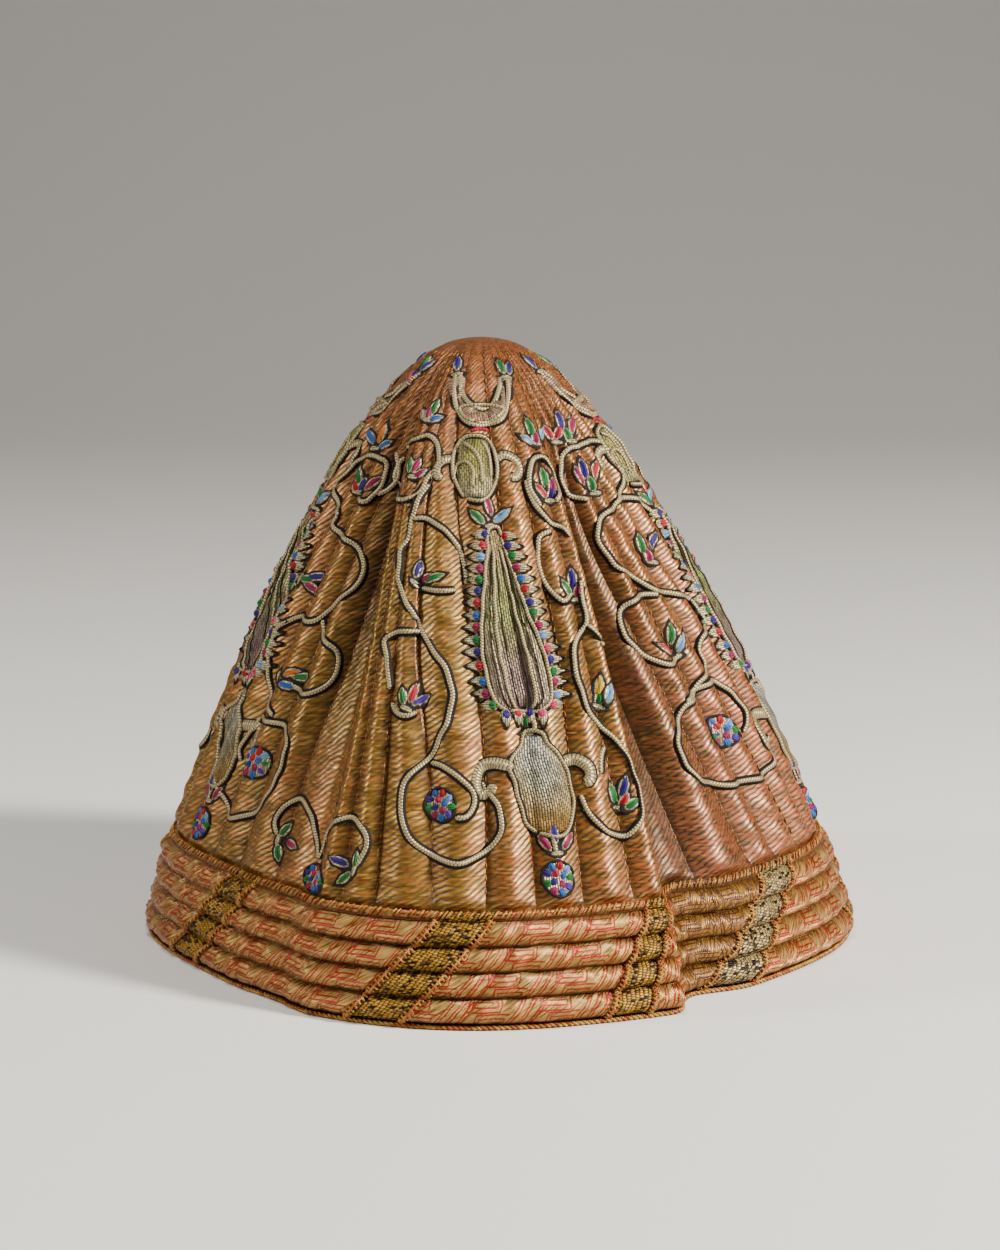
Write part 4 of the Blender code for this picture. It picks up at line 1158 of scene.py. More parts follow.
VINES = {
    "left": {
        "cords": [
            [(-49, 118), (-44, 117), (-42, 119), (-40, 126), (-44, 131), (-50, 132), (-58, 130),
             (-66, 123), (-66, 121), (-60, 116), (-56, 112), (-56, 108), (-50, 106), (-43, 103),
             (-38, 99), (-36, 95), (-38, 89), (-42, 84), (-45, 80), (-47, 78), (-52, 78), (-58, 76),
             (-62, 71), (-62, 66), (-59, 60), (-56, 55), (-54, 52), (-51, 47)],
            [(-45, 79), (-43, 75), (-38, 70), (-36, 65), (-38, 59), (-43, 56), (-50, 57)],
            [(-42, 119), (-36, 121), (-34, 124), (-35, 129), (-39, 134)],
            [(-55, 45), (-51, 45), (-46, 44), (-44.7, 40), (-44.5, 35), (-46, 25), (-48, 17),
             (-52, 15), (-56, 15), (-59, 18), (-62, 20), (-66, 25)],
            [(-55, 45), (-58, 38), (-59, 33), (-57, 30)],
        ],
        "flowers": [
            ((-53, 134), [(BLUE, -60, 138), (ORANGE, -53, 140), (BLUE, -47, 136)]),
            ((-61, 158), [(PURPLE, -58, 162), (CRIMSON, -64, 161)]),
            ((-50, 119), [(GREEN, -54, 125), (RED, -53, 121.5), (MAGENTA, -45, 123),
                          (PURPLE, -49, 122)]),
            ((-61, 90), [(GREEN, -57, 90), (PURPLE, -52, 91), (MAGENTA, -52, 87)]),
            ((-55, 58), [(ORANGE, -50, 61), (BLUE, -50, 57), (GREEN, -45, 60)]),
        ],
        "berries": [(-53, 32, 3.6, 4.8)],
    },
    "hooks": {
        "cords": [
            [(-31.2, 10), (-33, 17), (-35, 22), (-38, 24.5), (-41, 22), (-42.5, 18), (-41, 13)],
            [(-31.2, 10), (-30, 20), (-28.5, 23.5), (-26, 24.5), (-23.5, 22), (-22.5, 17),
             (-24, 11)],
        ],
        "flowers": [
            ((-41, 12), [(GREEN, -39.5, 15), (MAGENTA, -37.5, 11.5), (GREEN, -40, 8)]),
            ((-24, 10), [(GREEN, -24, 13), (PURPLE, -27, 11.5), (GREEN, -25.5, 7)]),
        ],
        "berries": [(-31, 4.8, 3.0, 3.8)],
    },
    "inner left": {
        "cords": [
            [(-33, 132), (-35, 130), (-34, 124), (-29, 120), (-24, 122), (-21, 128), (-18, 133),
             (-20, 138), (-25, 141), (-31, 140), (-35, 135)],
            [(-18, 133), (-20, 126), (-23, 121), (-24, 115), (-24, 108), (-25.5, 105), (-25, 98),
             (-23, 92), (-20, 87), (-16, 80), (-13, 75), (-9.5, 69), (-8, 62), (-8.5, 56),
             (-10, 50), (-12, 43), (-16, 38), (-17, 33), (-16.5, 27), (-15, 21), (-11, 16),
             (-7, 14), (-3, 15.5), (0, 19), (1.5, 25), (1, 30), (-1, 34), (-2.5, 37)],
            [(-12, 42), (-10, 41.5), (-6, 38), (-3.5, 34), (-3.5, 30), (-4.5, 27.5), (-7, 27)],
            [(-24, 114), (-20, 114.5), (-14, 112), (-9, 107), (-6, 100), (-5.5, 94)],
            [(-18, 93), (-13, 92.5), (-8, 93)],
            [(-16, 80), (-19, 80), (-23, 79), (-25, 77), (-24, 72), (-22, 62)],
            [(-21, 59), (-20, 56.5), (-17.5, 55.5), (-15, 56.5)],
        ],
        "flowers": [
            ((-28, 127), [(GREEN, -30, 131), (MAGENTA, -27, 131), (MAGENTA, -25, 128.5)]),
            ((-29, 146), [(GREEN, -27, 151), (SILVER, -32, 148), (MAGENTA, -29, 149),
                          (BLUE, -24.5, 147)]),
            ((-20, 94), [(PURPLE, -18.5, 98.5), (MAGENTA, -16.5, 96), (GREEN, -14.5, 96.5)]),
            ((-18, 57), [(GREEN, -18.8, 61), (CRIMSON, -16.4, 62), (VIOLET, -14.4, 59.5)]),
        ],
        "berries": [(-9.5, 30, 2.8, 4.7)],
    },
    "inner right": {
        "cords": [
            [(19, 118), (16.5, 125), (18, 130), (21, 133.5), (24, 134), (27, 130), (27, 124),
             (24, 119)],
            [(15.5, 127), (16, 122), (19, 116), (21, 113), (25, 111), (26.5, 108)],
            [(21, 111), (17, 109), (15, 103), (15, 97), (17, 92), (20, 89), (23, 91)],
            [(26, 95), (25.2, 88), (24.5, 81), (21, 77), (19.5, 70), (20, 62), (21, 55),
             (22.5, 51), (25, 47.5), (27, 43), (28, 35), (28, 27), (26, 21), (24, 19), (21, 20),
             (18.5, 24), (17, 28), (16, 32)],
            [(24.5, 81.5), (27, 78), (28, 71)],
            [(23, 45), (21.5, 42), (21, 37)],
        ],
        "flowers": [
            ((23, 138), [(GREEN, 23, 144), (SKY, 20, 140), (SKY, 27, 141), (MAGENTA, 24, 140)]),
            ((22.5, 119), [(GREEN, 22.5, 127), (MAGENTA, 25, 124), (PURPLE, 24, 122),
                           (CRIMSON, 20.5, 123)]),
            ((23, 88), [(PURPLE, 23.5, 95), (GREEN, 21.5, 92.5), (MAGENTA, 24.5, 91.5)]),
            ((22.8, 56), [(YELLOW, 24.2, 62.5), (SKY, 26.2, 60.5), (GREEN, 23.6, 59)]),
            ((23, 26), [(PURPLE, 25, 33), (GREEN, 22.5, 31), (RED, 24.5, 29), (GREEN, 26, 28)]),
        ],
        "berries": [],
    },
    "right": {
        "cords": [
            [(70, 110), (65, 113), (57, 117), (50, 116), (46, 114), (45, 114), (40, 112),
             (36, 107), (36, 102), (38, 97), (43, 92), (48, 88), (50, 87), (56, 85), (62, 82),
             (65, 78), (64, 73), (60, 70), (57, 67), (56, 61), (52, 57), (48, 53), (45, 51),
             (42, 48), (40, 42), (40, 35), (42, 30), (47, 26), (55, 25), (65, 26), (70, 28),
             (72, 35)],
            [(50, 116), (60, 122), (64, 131), (55, 137), (45, 136), (38, 135), (34, 133),
             (30, 127), (30, 120), (38, 118)],
            [(50, 86), (44, 86), (38, 84), (34, 80), (34, 75), (36, 70), (40, 66), (45, 64),
             (50, 66)],
            [(45, 52), (50, 55), (57, 56), (60, 54), (64, 50), (66, 45), (64, 41), (60, 38)],
        ],
        "flowers": [
            ((41, 137), [(PURPLE, 41, 145), (MAGENTA, 47, 143), (GREEN, 41, 140)]),
            ((33, 137), [(CRIMSON, 31, 141), (CRIMSON, 37, 141)]),
            ((42, 119), [(PURPLE, 41, 128), (RED, 46, 127), (MAGENTA, 38, 126), (GREEN, 42, 123)]),
            ((53, 95), [(GREEN, 52, 102), (PURPLE, 58, 102), (MAGENTA, 53, 98)]),
            ((47, 65), [(CRIMSON, 45, 69), (GREEN, 48.5, 73), (SKY, 51, 70)]),
        ],
        "berries": [(53, 41, 4.1, 4.8)],
    },
    "axis": {
        "cords": [
            [(5, 57), (9, 53), (8.5, 50)],
            [(10.5, 22), (10.5, 16)],
            [(-20.5, 164), (-18, 157), (-12.5, 149.5), (-6, 145.9), (0, 145), (6, 145.9),
             (12, 149.5), (16.5, 156), (19.5, 163)],
            [(-17, 164), (-12.5, 157), (-6.5, 152.5), (0, 150.8), (5, 152.2), (10, 156.5),
             (15, 163)],
        ],
        "flowers": [
            ((7.2, 49.5), [(GREEN, 7.1, 54.5)]),
            ((1.5, 112), [(MAGENTA, 1.2, 119), (GREEN, -2.5, 115.5), (SKY, 5.5, 115.5)]),
            ((10.8, 15.5), [(PURPLE, 10.6, 22), (MAGENTA, 8.8, 19), (MAGENTA, 12.8, 19)]),
            ((-19, 163), [(PURPLE, -22, 168)]),
            ((19, 162), [(PURPLE, 24, 166), (GREEN, 18, 167)]),
        ],
        "berries": [(10.6, 8.8, 2.6, 5.0)],
    },
}
print("drawings:", len(VINES))

# %% [markdown]
# ## Handles, collars, and where everything stands
#
# The urns have broad curled handles, and a collar with a fine red line ends each axis near the
# tip. The last two lists say which drawing stands where round the hat.

# %% More of each axis, and the places
# Broad laid bands of silver thread on each axis: width in mm, and the path
HANDLES = [
    (3.6, [(4.5, 41.5), (0, 42), (-2.6, 40), (-3.2, 36), (-2.2, 33), (-0.6, 33.5), (0.4, 36.5)]),
    (3.6, [(13.5, 41.5), (16.8, 41.8), (18.6, 39.5), (18.6, 36.5), (17.2, 34.8)]),
    (2.8, [(-11.5, 133), (-15, 133.5), (-18, 131.5), (-18, 128.5), (-15.5, 127.2)]),
    (2.8, [(4.5, 132.5), (8, 135), (12, 134), (14, 130.5), (12, 127.8), (9, 127.8)]),
]
COLLAR = [(-18.6, 163), (-15.2, 156.5), (-9.5, 151), (-4.5, 148.6), (0, 147.9), (4.5, 148.6),
          (9.5, 151), (13.2, 156.5), (17, 163)]
COLLAR_LINE = [(-6.5, 143.2), (-3, 143.9), (0.5, 143.6), (3.5, 142.6)]
SWIRLS = [[(-11.8, 127), (-10, 131.5), (-6.8, 132.8), (-4.2, 130), (-4.0, 124.5)],
          [(-8.5, 139), (-4.5, 137), (-1.5, 132.5), (-1.0, 125.5)],
          [(-1, 139.5), (2.2, 134), (2.2, 127)]]
# Which drawing stands where: its name, and the degrees it is turned by round the hat
FRONT = [(name, 0) for name in ("left", "hooks", "inner left", "axis", "inner right", "right")]
REAR = [("axis", 77), ("left", 159), ("hooks", 164), ("right", 100), ("axis", 177), ("left", 259),
        ("hooks", 264), ("right", 201), ("axis", 278)]
print("drawings placed:", len(FRONT) + len(REAR))

# %% [markdown]
# ## Laying the cords
#
# A couched cord is a flattened tube 1.6 mm wide, along a path on the cloth. Its dark outline is
# the same path again, wider and lower, so that only its two edges show. The ends taper down into
# the cloth, where the needle took them through.

# %% Cords and outlines
def moved(points, turn):
    """Points of a drawing at the front, carried onto the folds, or turned round to the back."""
    return carry(points) if turn == 0 else np.array(points, float) + (turn, 0)


def drawn(names):
    """Cord paths, flowers and berries of several placed drawings, ready to be sewn."""
    cords, flowers, berries = [], [], []
    for name, turn in names:
        vine = VINES[name]
        cords += [moved(path, turn) for path in vine["cords"]]
        for base, petals in vine["flowers"]:
            spots = moved([base] + [(a, s) for _, a, s in petals], turn)
            flowers.append((spots[0], [(c, *p) for (c, _, _), p in zip(petals, spots[1:])]))
        for a, s, wide, high in vine["berries"]:
            wide = wide if turn == 0 else min(wide, 0.72 * high)
            berries.append((*moved([(a, s)], turn)[0], wide, high))
    return cords, flowers, berries


sewn = {"front": drawn(FRONT), "rear": drawn(REAR)}
metres = 0.0
for side_name, (cords, _, _) in sewn.items():
    metres += laid("silver_cords_" + side_name, silver_cord, cords, 0.0016, 0.0006, sides=8)
    laid("outlines_" + side_name, dark_silk, cords, 0.0029, 0.0005, sides=4)
print("metres of cord:", round(metres, 1))

# %% [markdown]
# ## Satin stitched petals and berries
#
# A petal is a low pointed dome, sewn from the heart of the flower outwards in floss silk. It lies
# on a larger one of silver thread, whose edge frames it, and under both lies a dark one whose rim
# and spiky tip show as an outline. A berry is a ring of short satin stitches in many colours round
# a smaller ring, on a silver ground with a dark cord about it.

# %% Low domes
def domes(centres, directions, lengths, widths, heights, pointed=0.5, rings=3, sides=10):
    """Stack of low domes on the cloth, and their UV in mm across each dome.

    A dome is an ellipse whose width shrinks towards its tip, with height (1 - r^2) ^ 0.6.
    directions are (azimuth, slant) steps in degrees and mm from a flower's heart to its petal.
    """
    centres, directions = np.array(centres, float), np.array(directions, float)
    lengths, widths, heights = (np.broadcast_to(np.asarray(x, float), (len(centres),))
                                for x in (lengths, widths, heights))
    share = centres[:, 1] / DRAWING_SLANT
    point, normal = crown_points(centres[:, 0], share), cloth_normals(centres[:, 0], share)
    east = unit(np.cross(np.array([0, 0, 1.0]), normal))
    north = np.cross(normal, east)
    degree = np.radians(1) * crown_profile(share)[0] * 1000
    along = unit(east * (directions[:, 0] * degree)[:, None] + north * directions[:, 1:2])
    beside = np.cross(normal, along)
    r = np.sin(np.linspace(0, math.pi / 2, rings + 1))[:, None]
    turn = np.linspace(0, 2 * math.pi, sides + 1)
    x, y = r * np.cos(turn), r * np.sin(turn)
    y = y * (1 - pointed * np.clip(x, -1, 1) * np.where(x > 0, x, 0.35 * x))
    top = np.clip(1 - r ** 2, 0, 1) ** 0.6 + 0 * x
    under = -0.7 * np.ones_like(top)
    x, y = np.concatenate([x, x[::-1]]), np.concatenate([y, y[::-1]])
    z = np.concatenate([top, under])
    shape = (len(centres), 1, 1, 1)
    offset = (x[None, ..., None] * lengths.reshape(shape) / 2 * along[:, None, None]
              + y[None, ..., None] * widths.reshape(shape) / 2 * beside[:, None, None])
    grid = point[:, None, None] + offset
    # Each point is dropped on to the cloth before it is raised, so that domes follow the ribs
    a = np.degrees(np.arctan2(grid[..., 0] - MIDDLE[0] - CROWN_LEAN * grid[..., 2] / HAT_HEIGHT,
                              MIDDLE[1] - grid[..., 1]))
    s = share.reshape(shape[:-1]) + np.einsum("krci,ki->krc", offset, north) / SLANT
    base = crown_points(a, np.clip(s, 0, 1))
    base = 0.5 * base + 0.5 * np.maximum(np.einsum("krci,ki->krc", base - grid, normal),
                                         -0.0004)[..., None] * normal[:, None, None] + 0.5 * grid
    grid = base + (z[None] * heights.reshape(shape[:-1]))[..., None] * normal[:, None, None]
    uv = np.stack([y * widths.reshape(shape[:-1]) * 500, x * lengths.reshape(shape[:-1]) * 500],
                  axis=-1)
    return grid, uv


sample = domes([(0, 50)], [(0, 1)], 0.005, 0.002, 0.001)[0]
print("a dome has", sample.shape[1], "rows of", sample.shape[2], "points")

# %% [markdown]
# ## Sewing the flowers and berries
#
# Every petal points away from the heart of its flower, and is longer when it lies further out.
# All petals of the hat are one mesh with the silk's colours stored in it, so one material serves
# them all.

# %% Petals and berries
def sewn_domes(name, finish, rows, height, pointed, more=(0, 0), colour=None, sides=10):
    """One mesh of domes from rows of centre, direction, length and width, with colours or without.

    more is added to their length and width.
    """
    rows = np.array(rows, float)
    grid, uv = domes(rows[:, :2], rows[:, 2:4], rows[:, 4] + more[0], rows[:, 5] + more[1], height,
                     pointed=pointed, sides=sides)
    colour = rows[:, 6:] if rows.shape[1] > 6 else colour
    colours = None if colour is None else painted(colour, grid)
    skin(name, grid, [finish], {"thread": uv}, colours=colours)


PETAL_WIDE, PETAL_LONG = 0.0022, (4.6, 6.6)   # m, and mm at least and at most
BERRY_COLOURS = (BLUE, CRIMSON, PURPLE, MAGENTA, GREEN, SKY, RED, BLUE, PURPLE, GREEN, MAGENTA,
                 BLUE, VIOLET)
petals_made, grounds, berry_grounds, berry_rings = [], [], [], []
for _, flowers, berries in sewn.values():
    for heart, petals in flowers:
        degree = np.radians(1) * crown_profile(heart[1] / DRAWING_SLANT)[0] * 1000
        for colour, a, s in petals:
            way = np.array([a, s]) - heart
            reach = math.hypot(way[0] * degree, way[1])
            long = min(max(reach * 1.2, PETAL_LONG[0]), PETAL_LONG[1])
            petals_made.append((a, s, *way, 0.001 * long, PETAL_WIDE, *to_linear(colour)))
            grounds.append((a, s, *way, 0.001 * (long + 1.0), PETAL_WIDE + 0.0009))
        # A small leaf lies across the heart of the flower
        middle = np.array([(a, s) for _, a, s in petals]).mean(axis=0) - heart
        grounds.append((*(heart + middle * 0.12), -middle[1] / degree, middle[0] * degree,
                        0.0042, 0.0019))
    for a, s, wide, high in berries:
        degree = np.radians(1) * crown_profile(s / DRAWING_SLANT)[0] * 1000
        size = 0.001 * min(wide * degree, high)
        berry_grounds.append((a, s, 0.0, 1.0, 0.002 * high, 0.002 * wide * degree))
        stitches_at = [(0.36, 0.62, t) for t in np.arange(4) / 4 * 2 * math.pi + 0.5]
        stitches_at += [(0.78, 0.72, t) for t in np.arange(9) / 9 * 2 * math.pi]
        for (r, share, t), colour in zip(stitches_at, BERRY_COLOURS):
            x, y = wide * math.cos(t), high * math.sin(t)
            petals_made.append((a + r * x, s + r * y, x, y, size * share, size * 0.54,
                                *to_linear(colour)))
        turn = np.linspace(0, 2 * math.pi, 13)
        ring = (a + 1.02 * wide * np.cos(turn), s + 1.02 * high * np.sin(turn))
        berry_rings.append(np.stack(ring, axis=1))

silver = to_linear("#b4a680")
sewn_domes("silk_petals", floss, petals_made, 0.0009, 0.7)
sewn_domes("silver_leaves", silver_fill, grounds, 0.0006, 0.7, colour=silver)
sewn_domes("leaf_outlines", dark_silk, grounds, 0.0003, 0.85, more=(0.0022, 0.0012))
sewn_domes("berry_grounds", silver_fill, berry_grounds, 0.0004, 0.0, colour=silver, sides=20)
laid("berry_outlines", dark_silk, berry_rings, 0.0010, 0.0006)
print("petals and dots:", len(petals_made))

# %% [markdown]
# ## Urns and pendants
#
# The urns and the long pendant are filled with silver thread, laid side by side. Each is a padded
# patch between a left and a right edge. Small bright stitches stand along both sides of the
# pendant, each on a long silver tooth, and a dark zigzag thread outside them joins their tips.

# %% Tables of the filled shapes
# Rows of slant, left edge and right edge
PENDANT = [(57, 2.5, 11.5), (59, 0.5, 13.6), (65, -1.2, 14.2), (75, -2.6, 13.6), (85, -2.6, 11.6),
           (95, -2.0, 9.6), (105, -1.2, 6.9), (112, 0.2, 4.4)]
LOWER_URN = [(21.5, 7.6, 12.6), (24, 6.0, 13.8), (29, 5.0, 14.6), (36, 4.2, 14.4), (41, 3.4, 13.8),
             (44, 4.0, 12.8), (47, 5.8, 11.2), (50.5, 6.8, 10.4)]
UPPER_URN = [(121, -6.5, 0), (124, -9, 3), (128, -11.5, 5), (133, -12.5, 5.2), (138, -11, 3.6),
             (141, -7, 0)]
PALMETTE = [(146, -4, 4), (148, -9, 8), (150, -12, 11)]
TRIANGLES_LEFT = [(PURPLE, 110), (CRIMSON, 106.5), (SKY, 103), (MAGENTA, 99.5), (GREEN, 96),
                  (PURPLE, 92.5), (CRIMSON, 89), (BLUE, 85), (MAGENTA, 81.5), (GREEN, 77.5),
                  (PURPLE, 74), (CRIMSON, 70), (BLUE, 65.5), (MAGENTA, 62), (GREEN, 58.8)]
TRIANGLES_RIGHT = [(RED, 109), (PURPLE, 106), (GREEN, 103), (MAGENTA, 99.5), (BLUE, 96), (RED, 93),
                   (PURPLE, 89), (GREEN, 86), (MAGENTA, 82), (SKY, 79), (PINK, 75),
                   (PURPLE, 71.5), (GREEN, 68), (MAGENTA, 65), (SKY, 61), (PINK, 58.5)]
GEM, TOOTH = (0.0032, 0.0028), (0.0060, 0.0036)   # length and width in metres
TOOTH_REACH, TOOTH_NOTCH = 4.3, 0.8               # mm from the pendant's edge to the zigzag

# Rows of slant, colour of the middle and colour of the sides
# The pendant's darker middle is painted shade of the valley down its centre; the hues are tarnish
PENDANT_TINTS = [(57, "#8a7468", "#b8a888"), (66, "#7c6660", "#b4a484"),
                 (76, "#72664a", "#b0a27c"), (86, "#767a42", "#a6a070"),
                 (96, "#84804c", "#aa9c70"), (112, "#9c8458", "#b29c74")]
LOWER_TINTS = [(21.5, "#90692a", "#987238"), (27, "#8c7242", "#957a4a"),
               (35, "#85806c", "#988458"), (50.5, "#949890", "#aca080")]
UPPER_TINTS = [(121, "#948a68", "#b0a280"), (131, "#86803e", "#a8997a"),
               (141, "#7c7c34", "#a49a76")]
FLOWER_TINTS = [(146, "#947458", "#a48c6c"), (150, "#8c6c50", "#a0866a")]
print("stitched teeth on the two sides:", len(TRIANGLES_LEFT), len(TRIANGLES_RIGHT))

# %% [markdown]
# ## A padded patch between two edges
#
# A filled shape swells over the wadding under its threads. Its grid goes from the left edge to
# the right one at every height and closes behind. Its colour changes up the shape and from the
# middle to the sides, because old silver tarnishes unevenly. On the pendant the darker middle is
# also painted shade of the valley down its centre.

# %% Patches
def patch(table, tints, lift, across=14, step=1.2):
    """Padded patch between two edges, as a grid, its UV in mm and its colours.

    It swells as (4 x (1 - x)) ^ 0.4 across its width x, and its rim goes down into the cloth.
    """
    s, left, right = np.array(table, float).T
    rows = np.linspace(s[0], s[-1], max(6, int((s[-1] - s[0]) / step)))
    left, right = through(rows, s, left), through(rows, s, right)
    x = np.linspace(0, 1, across + 1)
    y = np.linspace(0, 1, len(rows))[:, None]
    azimuth = left[:, None] + x * (right - left)[:, None]
    share = np.broadcast_to(rows[:, None] / DRAWING_SLANT, azimuth.shape)
    swell = np.minimum(np.clip(4 * x * (1 - x), 0, 1), np.clip(12 * y * (1 - y), 0, 1)) ** 0.4
    normal = cloth_normals(azimuth, share)
    point = crown_points(azimuth, share)
    above = point + normal * (lift * swell - 0.0002)[..., None]
    below = point - normal * 0.0007
    loop = np.concatenate([above, below[:, ::-1], above[:, :1]], axis=1)
    ends = [np.repeat(row.mean(axis=0, keepdims=True), loop.shape[1], axis=0)[None]
            for row in (loop[0], loop[-1])]
    grid = np.concatenate([ends[0], loop, ends[1]])
    mm = (x - 0.5) * (np.radians(right - left) * crown_profile(rows / DRAWING_SLANT)[0]
                      * 1000)[:, None]
    uv = np.stack(np.broadcast_arrays(mm, rows[:, None]), axis=-1)
    middle, sides = (np.array([to_linear(row[k]) for row in tints]) for k in (1, 2))
    middle, sides = (np.stack([np.interp(rows, [row[0] for row in tints], c[:, k])
                               for k in range(4)], axis=1)[:, None] for c in (middle, sides))
    tint_and_shade = middle + (sides - middle) * ((2 * x - 1) ** 2)[:, None]
    uv, tint_and_shade = (np.concatenate([v, v[:, ::-1], v[:, :1]], axis=1) for v in (uv, tint_and_shade))
    return grid, np.concatenate([uv[:1], uv, uv[-1:]]), np.concatenate([tint_and_shade[:1], tint_and_shade, tint_and_shade[-1:]])


def carried_table(table, turn):
    """The two edges of a filled shape, moved as the cords' points are."""
    s, left, right = np.array(table, float).T
    left, right = (moved(np.stack([edge, s], axis=1), turn)[:, 0] for edge in (left, right))
    return np.stack([s, left, right], axis=1)


sample = patch(PENDANT, PENDANT_TINTS, 0.0009)[0]
print("the pendant has", sample.shape[0], "rows of", sample.shape[1], "points")

# %% [markdown]
# ## Collecting the shapes of each axis
#
# One loop goes over the four axes. A tooth of the pendant is a long silver dome with a small
# coloured gem at its foot, and the zigzag thread runs out to each tip and back in between two of
# them.

# %% Collect the shapes
axes = [turn for name, turn in FRONT + REAR if name == "axis"]
patches, rims, teeth, veins, silver_veins = [], [], [], [], []
handles, collars, collar_lines = [], [], []
gems, tooth_grounds = [], []
for turn in axes:
    for table, tints in ((PENDANT, PENDANT_TINTS), (LOWER_URN, LOWER_TINTS),
                         (UPPER_URN, UPPER_TINTS), (PALMETTE, FLOWER_TINTS)):
        table = carried_table(table, turn)
        if tints is PENDANT_TINTS:
            degree = np.radians(1) * crown_profile(table[:, 0] / DRAWING_SLANT)[0] * 1000
            table = table + np.stack([0 * degree, 1.5 / degree, -1.5 / degree], axis=1)
            for share in (0.16, 0.27, 0.38, 0.62, 0.73, 0.84):
                vein = np.stack([table[:, 1] + share * (table[:, 2] - table[:, 1]), table[:, 0]],
                                axis=1)[:-1]
                (silver_veins if share in (0.27, 0.73) else veins).append(vein)
        patches.append(patch(table, tints, 0.0009))
        s, left, right = table.T
        up, down = np.stack([left, s], axis=1), np.stack([right, s], axis=1)[::-1]
        rims.append(np.concatenate([up, down, up[:1]]))
    handles += [(width * 0.001, moved(path, turn)) for width, path in HANDLES]
    collars += [moved(COLLAR, turn)]
    collar_lines += [moved(COLLAR_LINE, turn)]
    silver_veins += [moved(path, turn) for path in SWIRLS]
    s, left, right = carried_table(PENDANT, turn).T
    for edge, sign, gem_list in ((left, -1, TRIANGLES_LEFT), (right, 1, TRIANGLES_RIGHT)):
        for colour, at in gem_list:
            a = float(through(at, s, edge))
            degree = math.radians(1) * float(crown_profile(at / DRAWING_SLANT)[0]) * 1000
            gems.append((a + sign * 0.1 / degree, at, sign, 0.0, *GEM, *to_linear(colour)))
            tooth_grounds.append((a + sign * 0.9 / degree, at, sign, 0.0, *TOOTH))
        tips = np.array([at for _, at in gem_list])[::-1]
        between = (tips[:-1] + tips[1:]) / 2
        rows = np.sort(np.concatenate([tips, between]))
        a = through(rows, s, edge)
        degree = np.radians(1) * crown_profile(rows / DRAWING_SLANT)[0] * 1000
        a = a + sign * np.where(np.isin(rows, tips), TOOTH_REACH, TOOTH_NOTCH) / degree
        teeth.append(np.stack([a, rows], axis=1))
    low = np.linspace(left[0] - 0.5, right[0] + 0.5, 9)
    teeth.append(np.stack([low, np.where(np.arange(9) % 2, 52.0, 56.2)], axis=1))
    for k, colour in zip((1, 3, 5, 7), (PURPLE, CRIMSON, PURPLE, PINK)):
        gems.append((low[k], 56.0, 0.0, -1.0, *GEM, *to_linear(colour)))
        tooth_grounds.append((low[k], 55.4, 0.0, -1.0, *TOOTH))
print("patches:", len(patches), "teeth:", len(gems))

# %% [markdown]
# ## Sewing the shapes
#
# Each list becomes one mesh: the patches, the cord round them with its dark outline, the lines
# inside the pendant, the handles, the collars, and last the gems on their silver teeth.

# %% Sew the shapes
grids, uvs, tints_and_shades = zip(*patches)
skin("silver_shapes", joined(grids), [silver_fill], {"thread": joined(uvs)}, colours=joined(tints_and_shades))
laid("shape_rims", silver_cord, rims, 0.0012, 0.0011)
laid("shape_outlines", dark_silk, rims, 0.0026, 0.0004, sides=4)
laid("pendant_lines", dark_silk, veins, 0.0004, 0.0003, sides=4, lift=0.0007)
laid("pendant_cords", silver_cord, silver_veins, 0.0011, 0.0004, lift=0.0008)
laid("pendant_teeth", dark_silk, teeth, 0.0007, 0.0005, sides=4)
widths, paths = zip(*handles)
laid("urn_handles", silver_cord, paths, widths, 0.0005)
laid("handle_outlines", dark_silk, paths, np.array(widths) + 0.0011, 0.0003)
laid("collar_fields", silver_fill, collars, 0.0052, 0.0004, colour="#a08268")
laid("collar_lines", floss, collar_lines, 0.0011, 0.0005, colour=CRIMSON)
sewn_domes("pendant_gems", floss, gems, 0.0014, 0.8)
sewn_domes("pendant_tooth_grounds", silver_fill, tooth_grounds, 0.0009, 0.95, colour=silver)
print("axes:", len(axes), "handles:", len(handles))

# %% [markdown]
# ## Stitches that hold the hat together
#
# The band's narrow strips are sewn in with slanted overcast stitches that look like a braid, and
# whip stitches run along its top edge. In the valleys of the quilting, short running stitches
# show. All of them are one small bent thread, repeated: an arc that rises out of the cloth and goes
# back in, placed by whole arrays of positions and directions.

# %% One stitch, many times
def stitches(centre, direction, normal, length, radius, lift, sides=5):
    """Stack of small threads and their UV: a parabola over each centre, along its direction."""
    t = np.array([0.0, 0.08, 0.5, 0.92, 1.0])
    scale = np.array([0.0, 0.9, 1.1, 0.9, 0.0])
    direction = unit(direction - (direction * normal).sum(-1, keepdims=True) * normal)
    path = (centre[:, None] + direction[:, None] * ((t - 0.5) * length)[:, None]
            + normal[:, None] * (lift * (1 - 3.2 * (t - 0.5) ** 2))[:, None])
    across, up = circle(sides, radius)
    grid = sweep(path, np.broadcast_to(normal[:, None], path.shape), across, up, scale)
    uv = np.stack(np.broadcast_arrays((t * length * 1000)[None, :, None],
                                      np.linspace(0, 1, sides + 1)), axis=-1)
    return grid, np.broadcast_to(uv, grid.shape[:3] + (2,))


BRAID_START = 0.0011   # how far up the cloth the braid begins, so that it stays above the floor
BRAID_PITCH = 0.00105
BUTTED_SEAM = (33.0, 33.0)   # two panels meet at the deep fold without a braid
WELT_ROW = -3.2        # row of the section, from the band's top, where the whip stitches are

thickness, height = band_section()[:2]
section_rows = np.arange(len(height))
cloth_length = np.append(0, np.cumsum(np.hypot(np.diff(thickness), np.diff(height))))


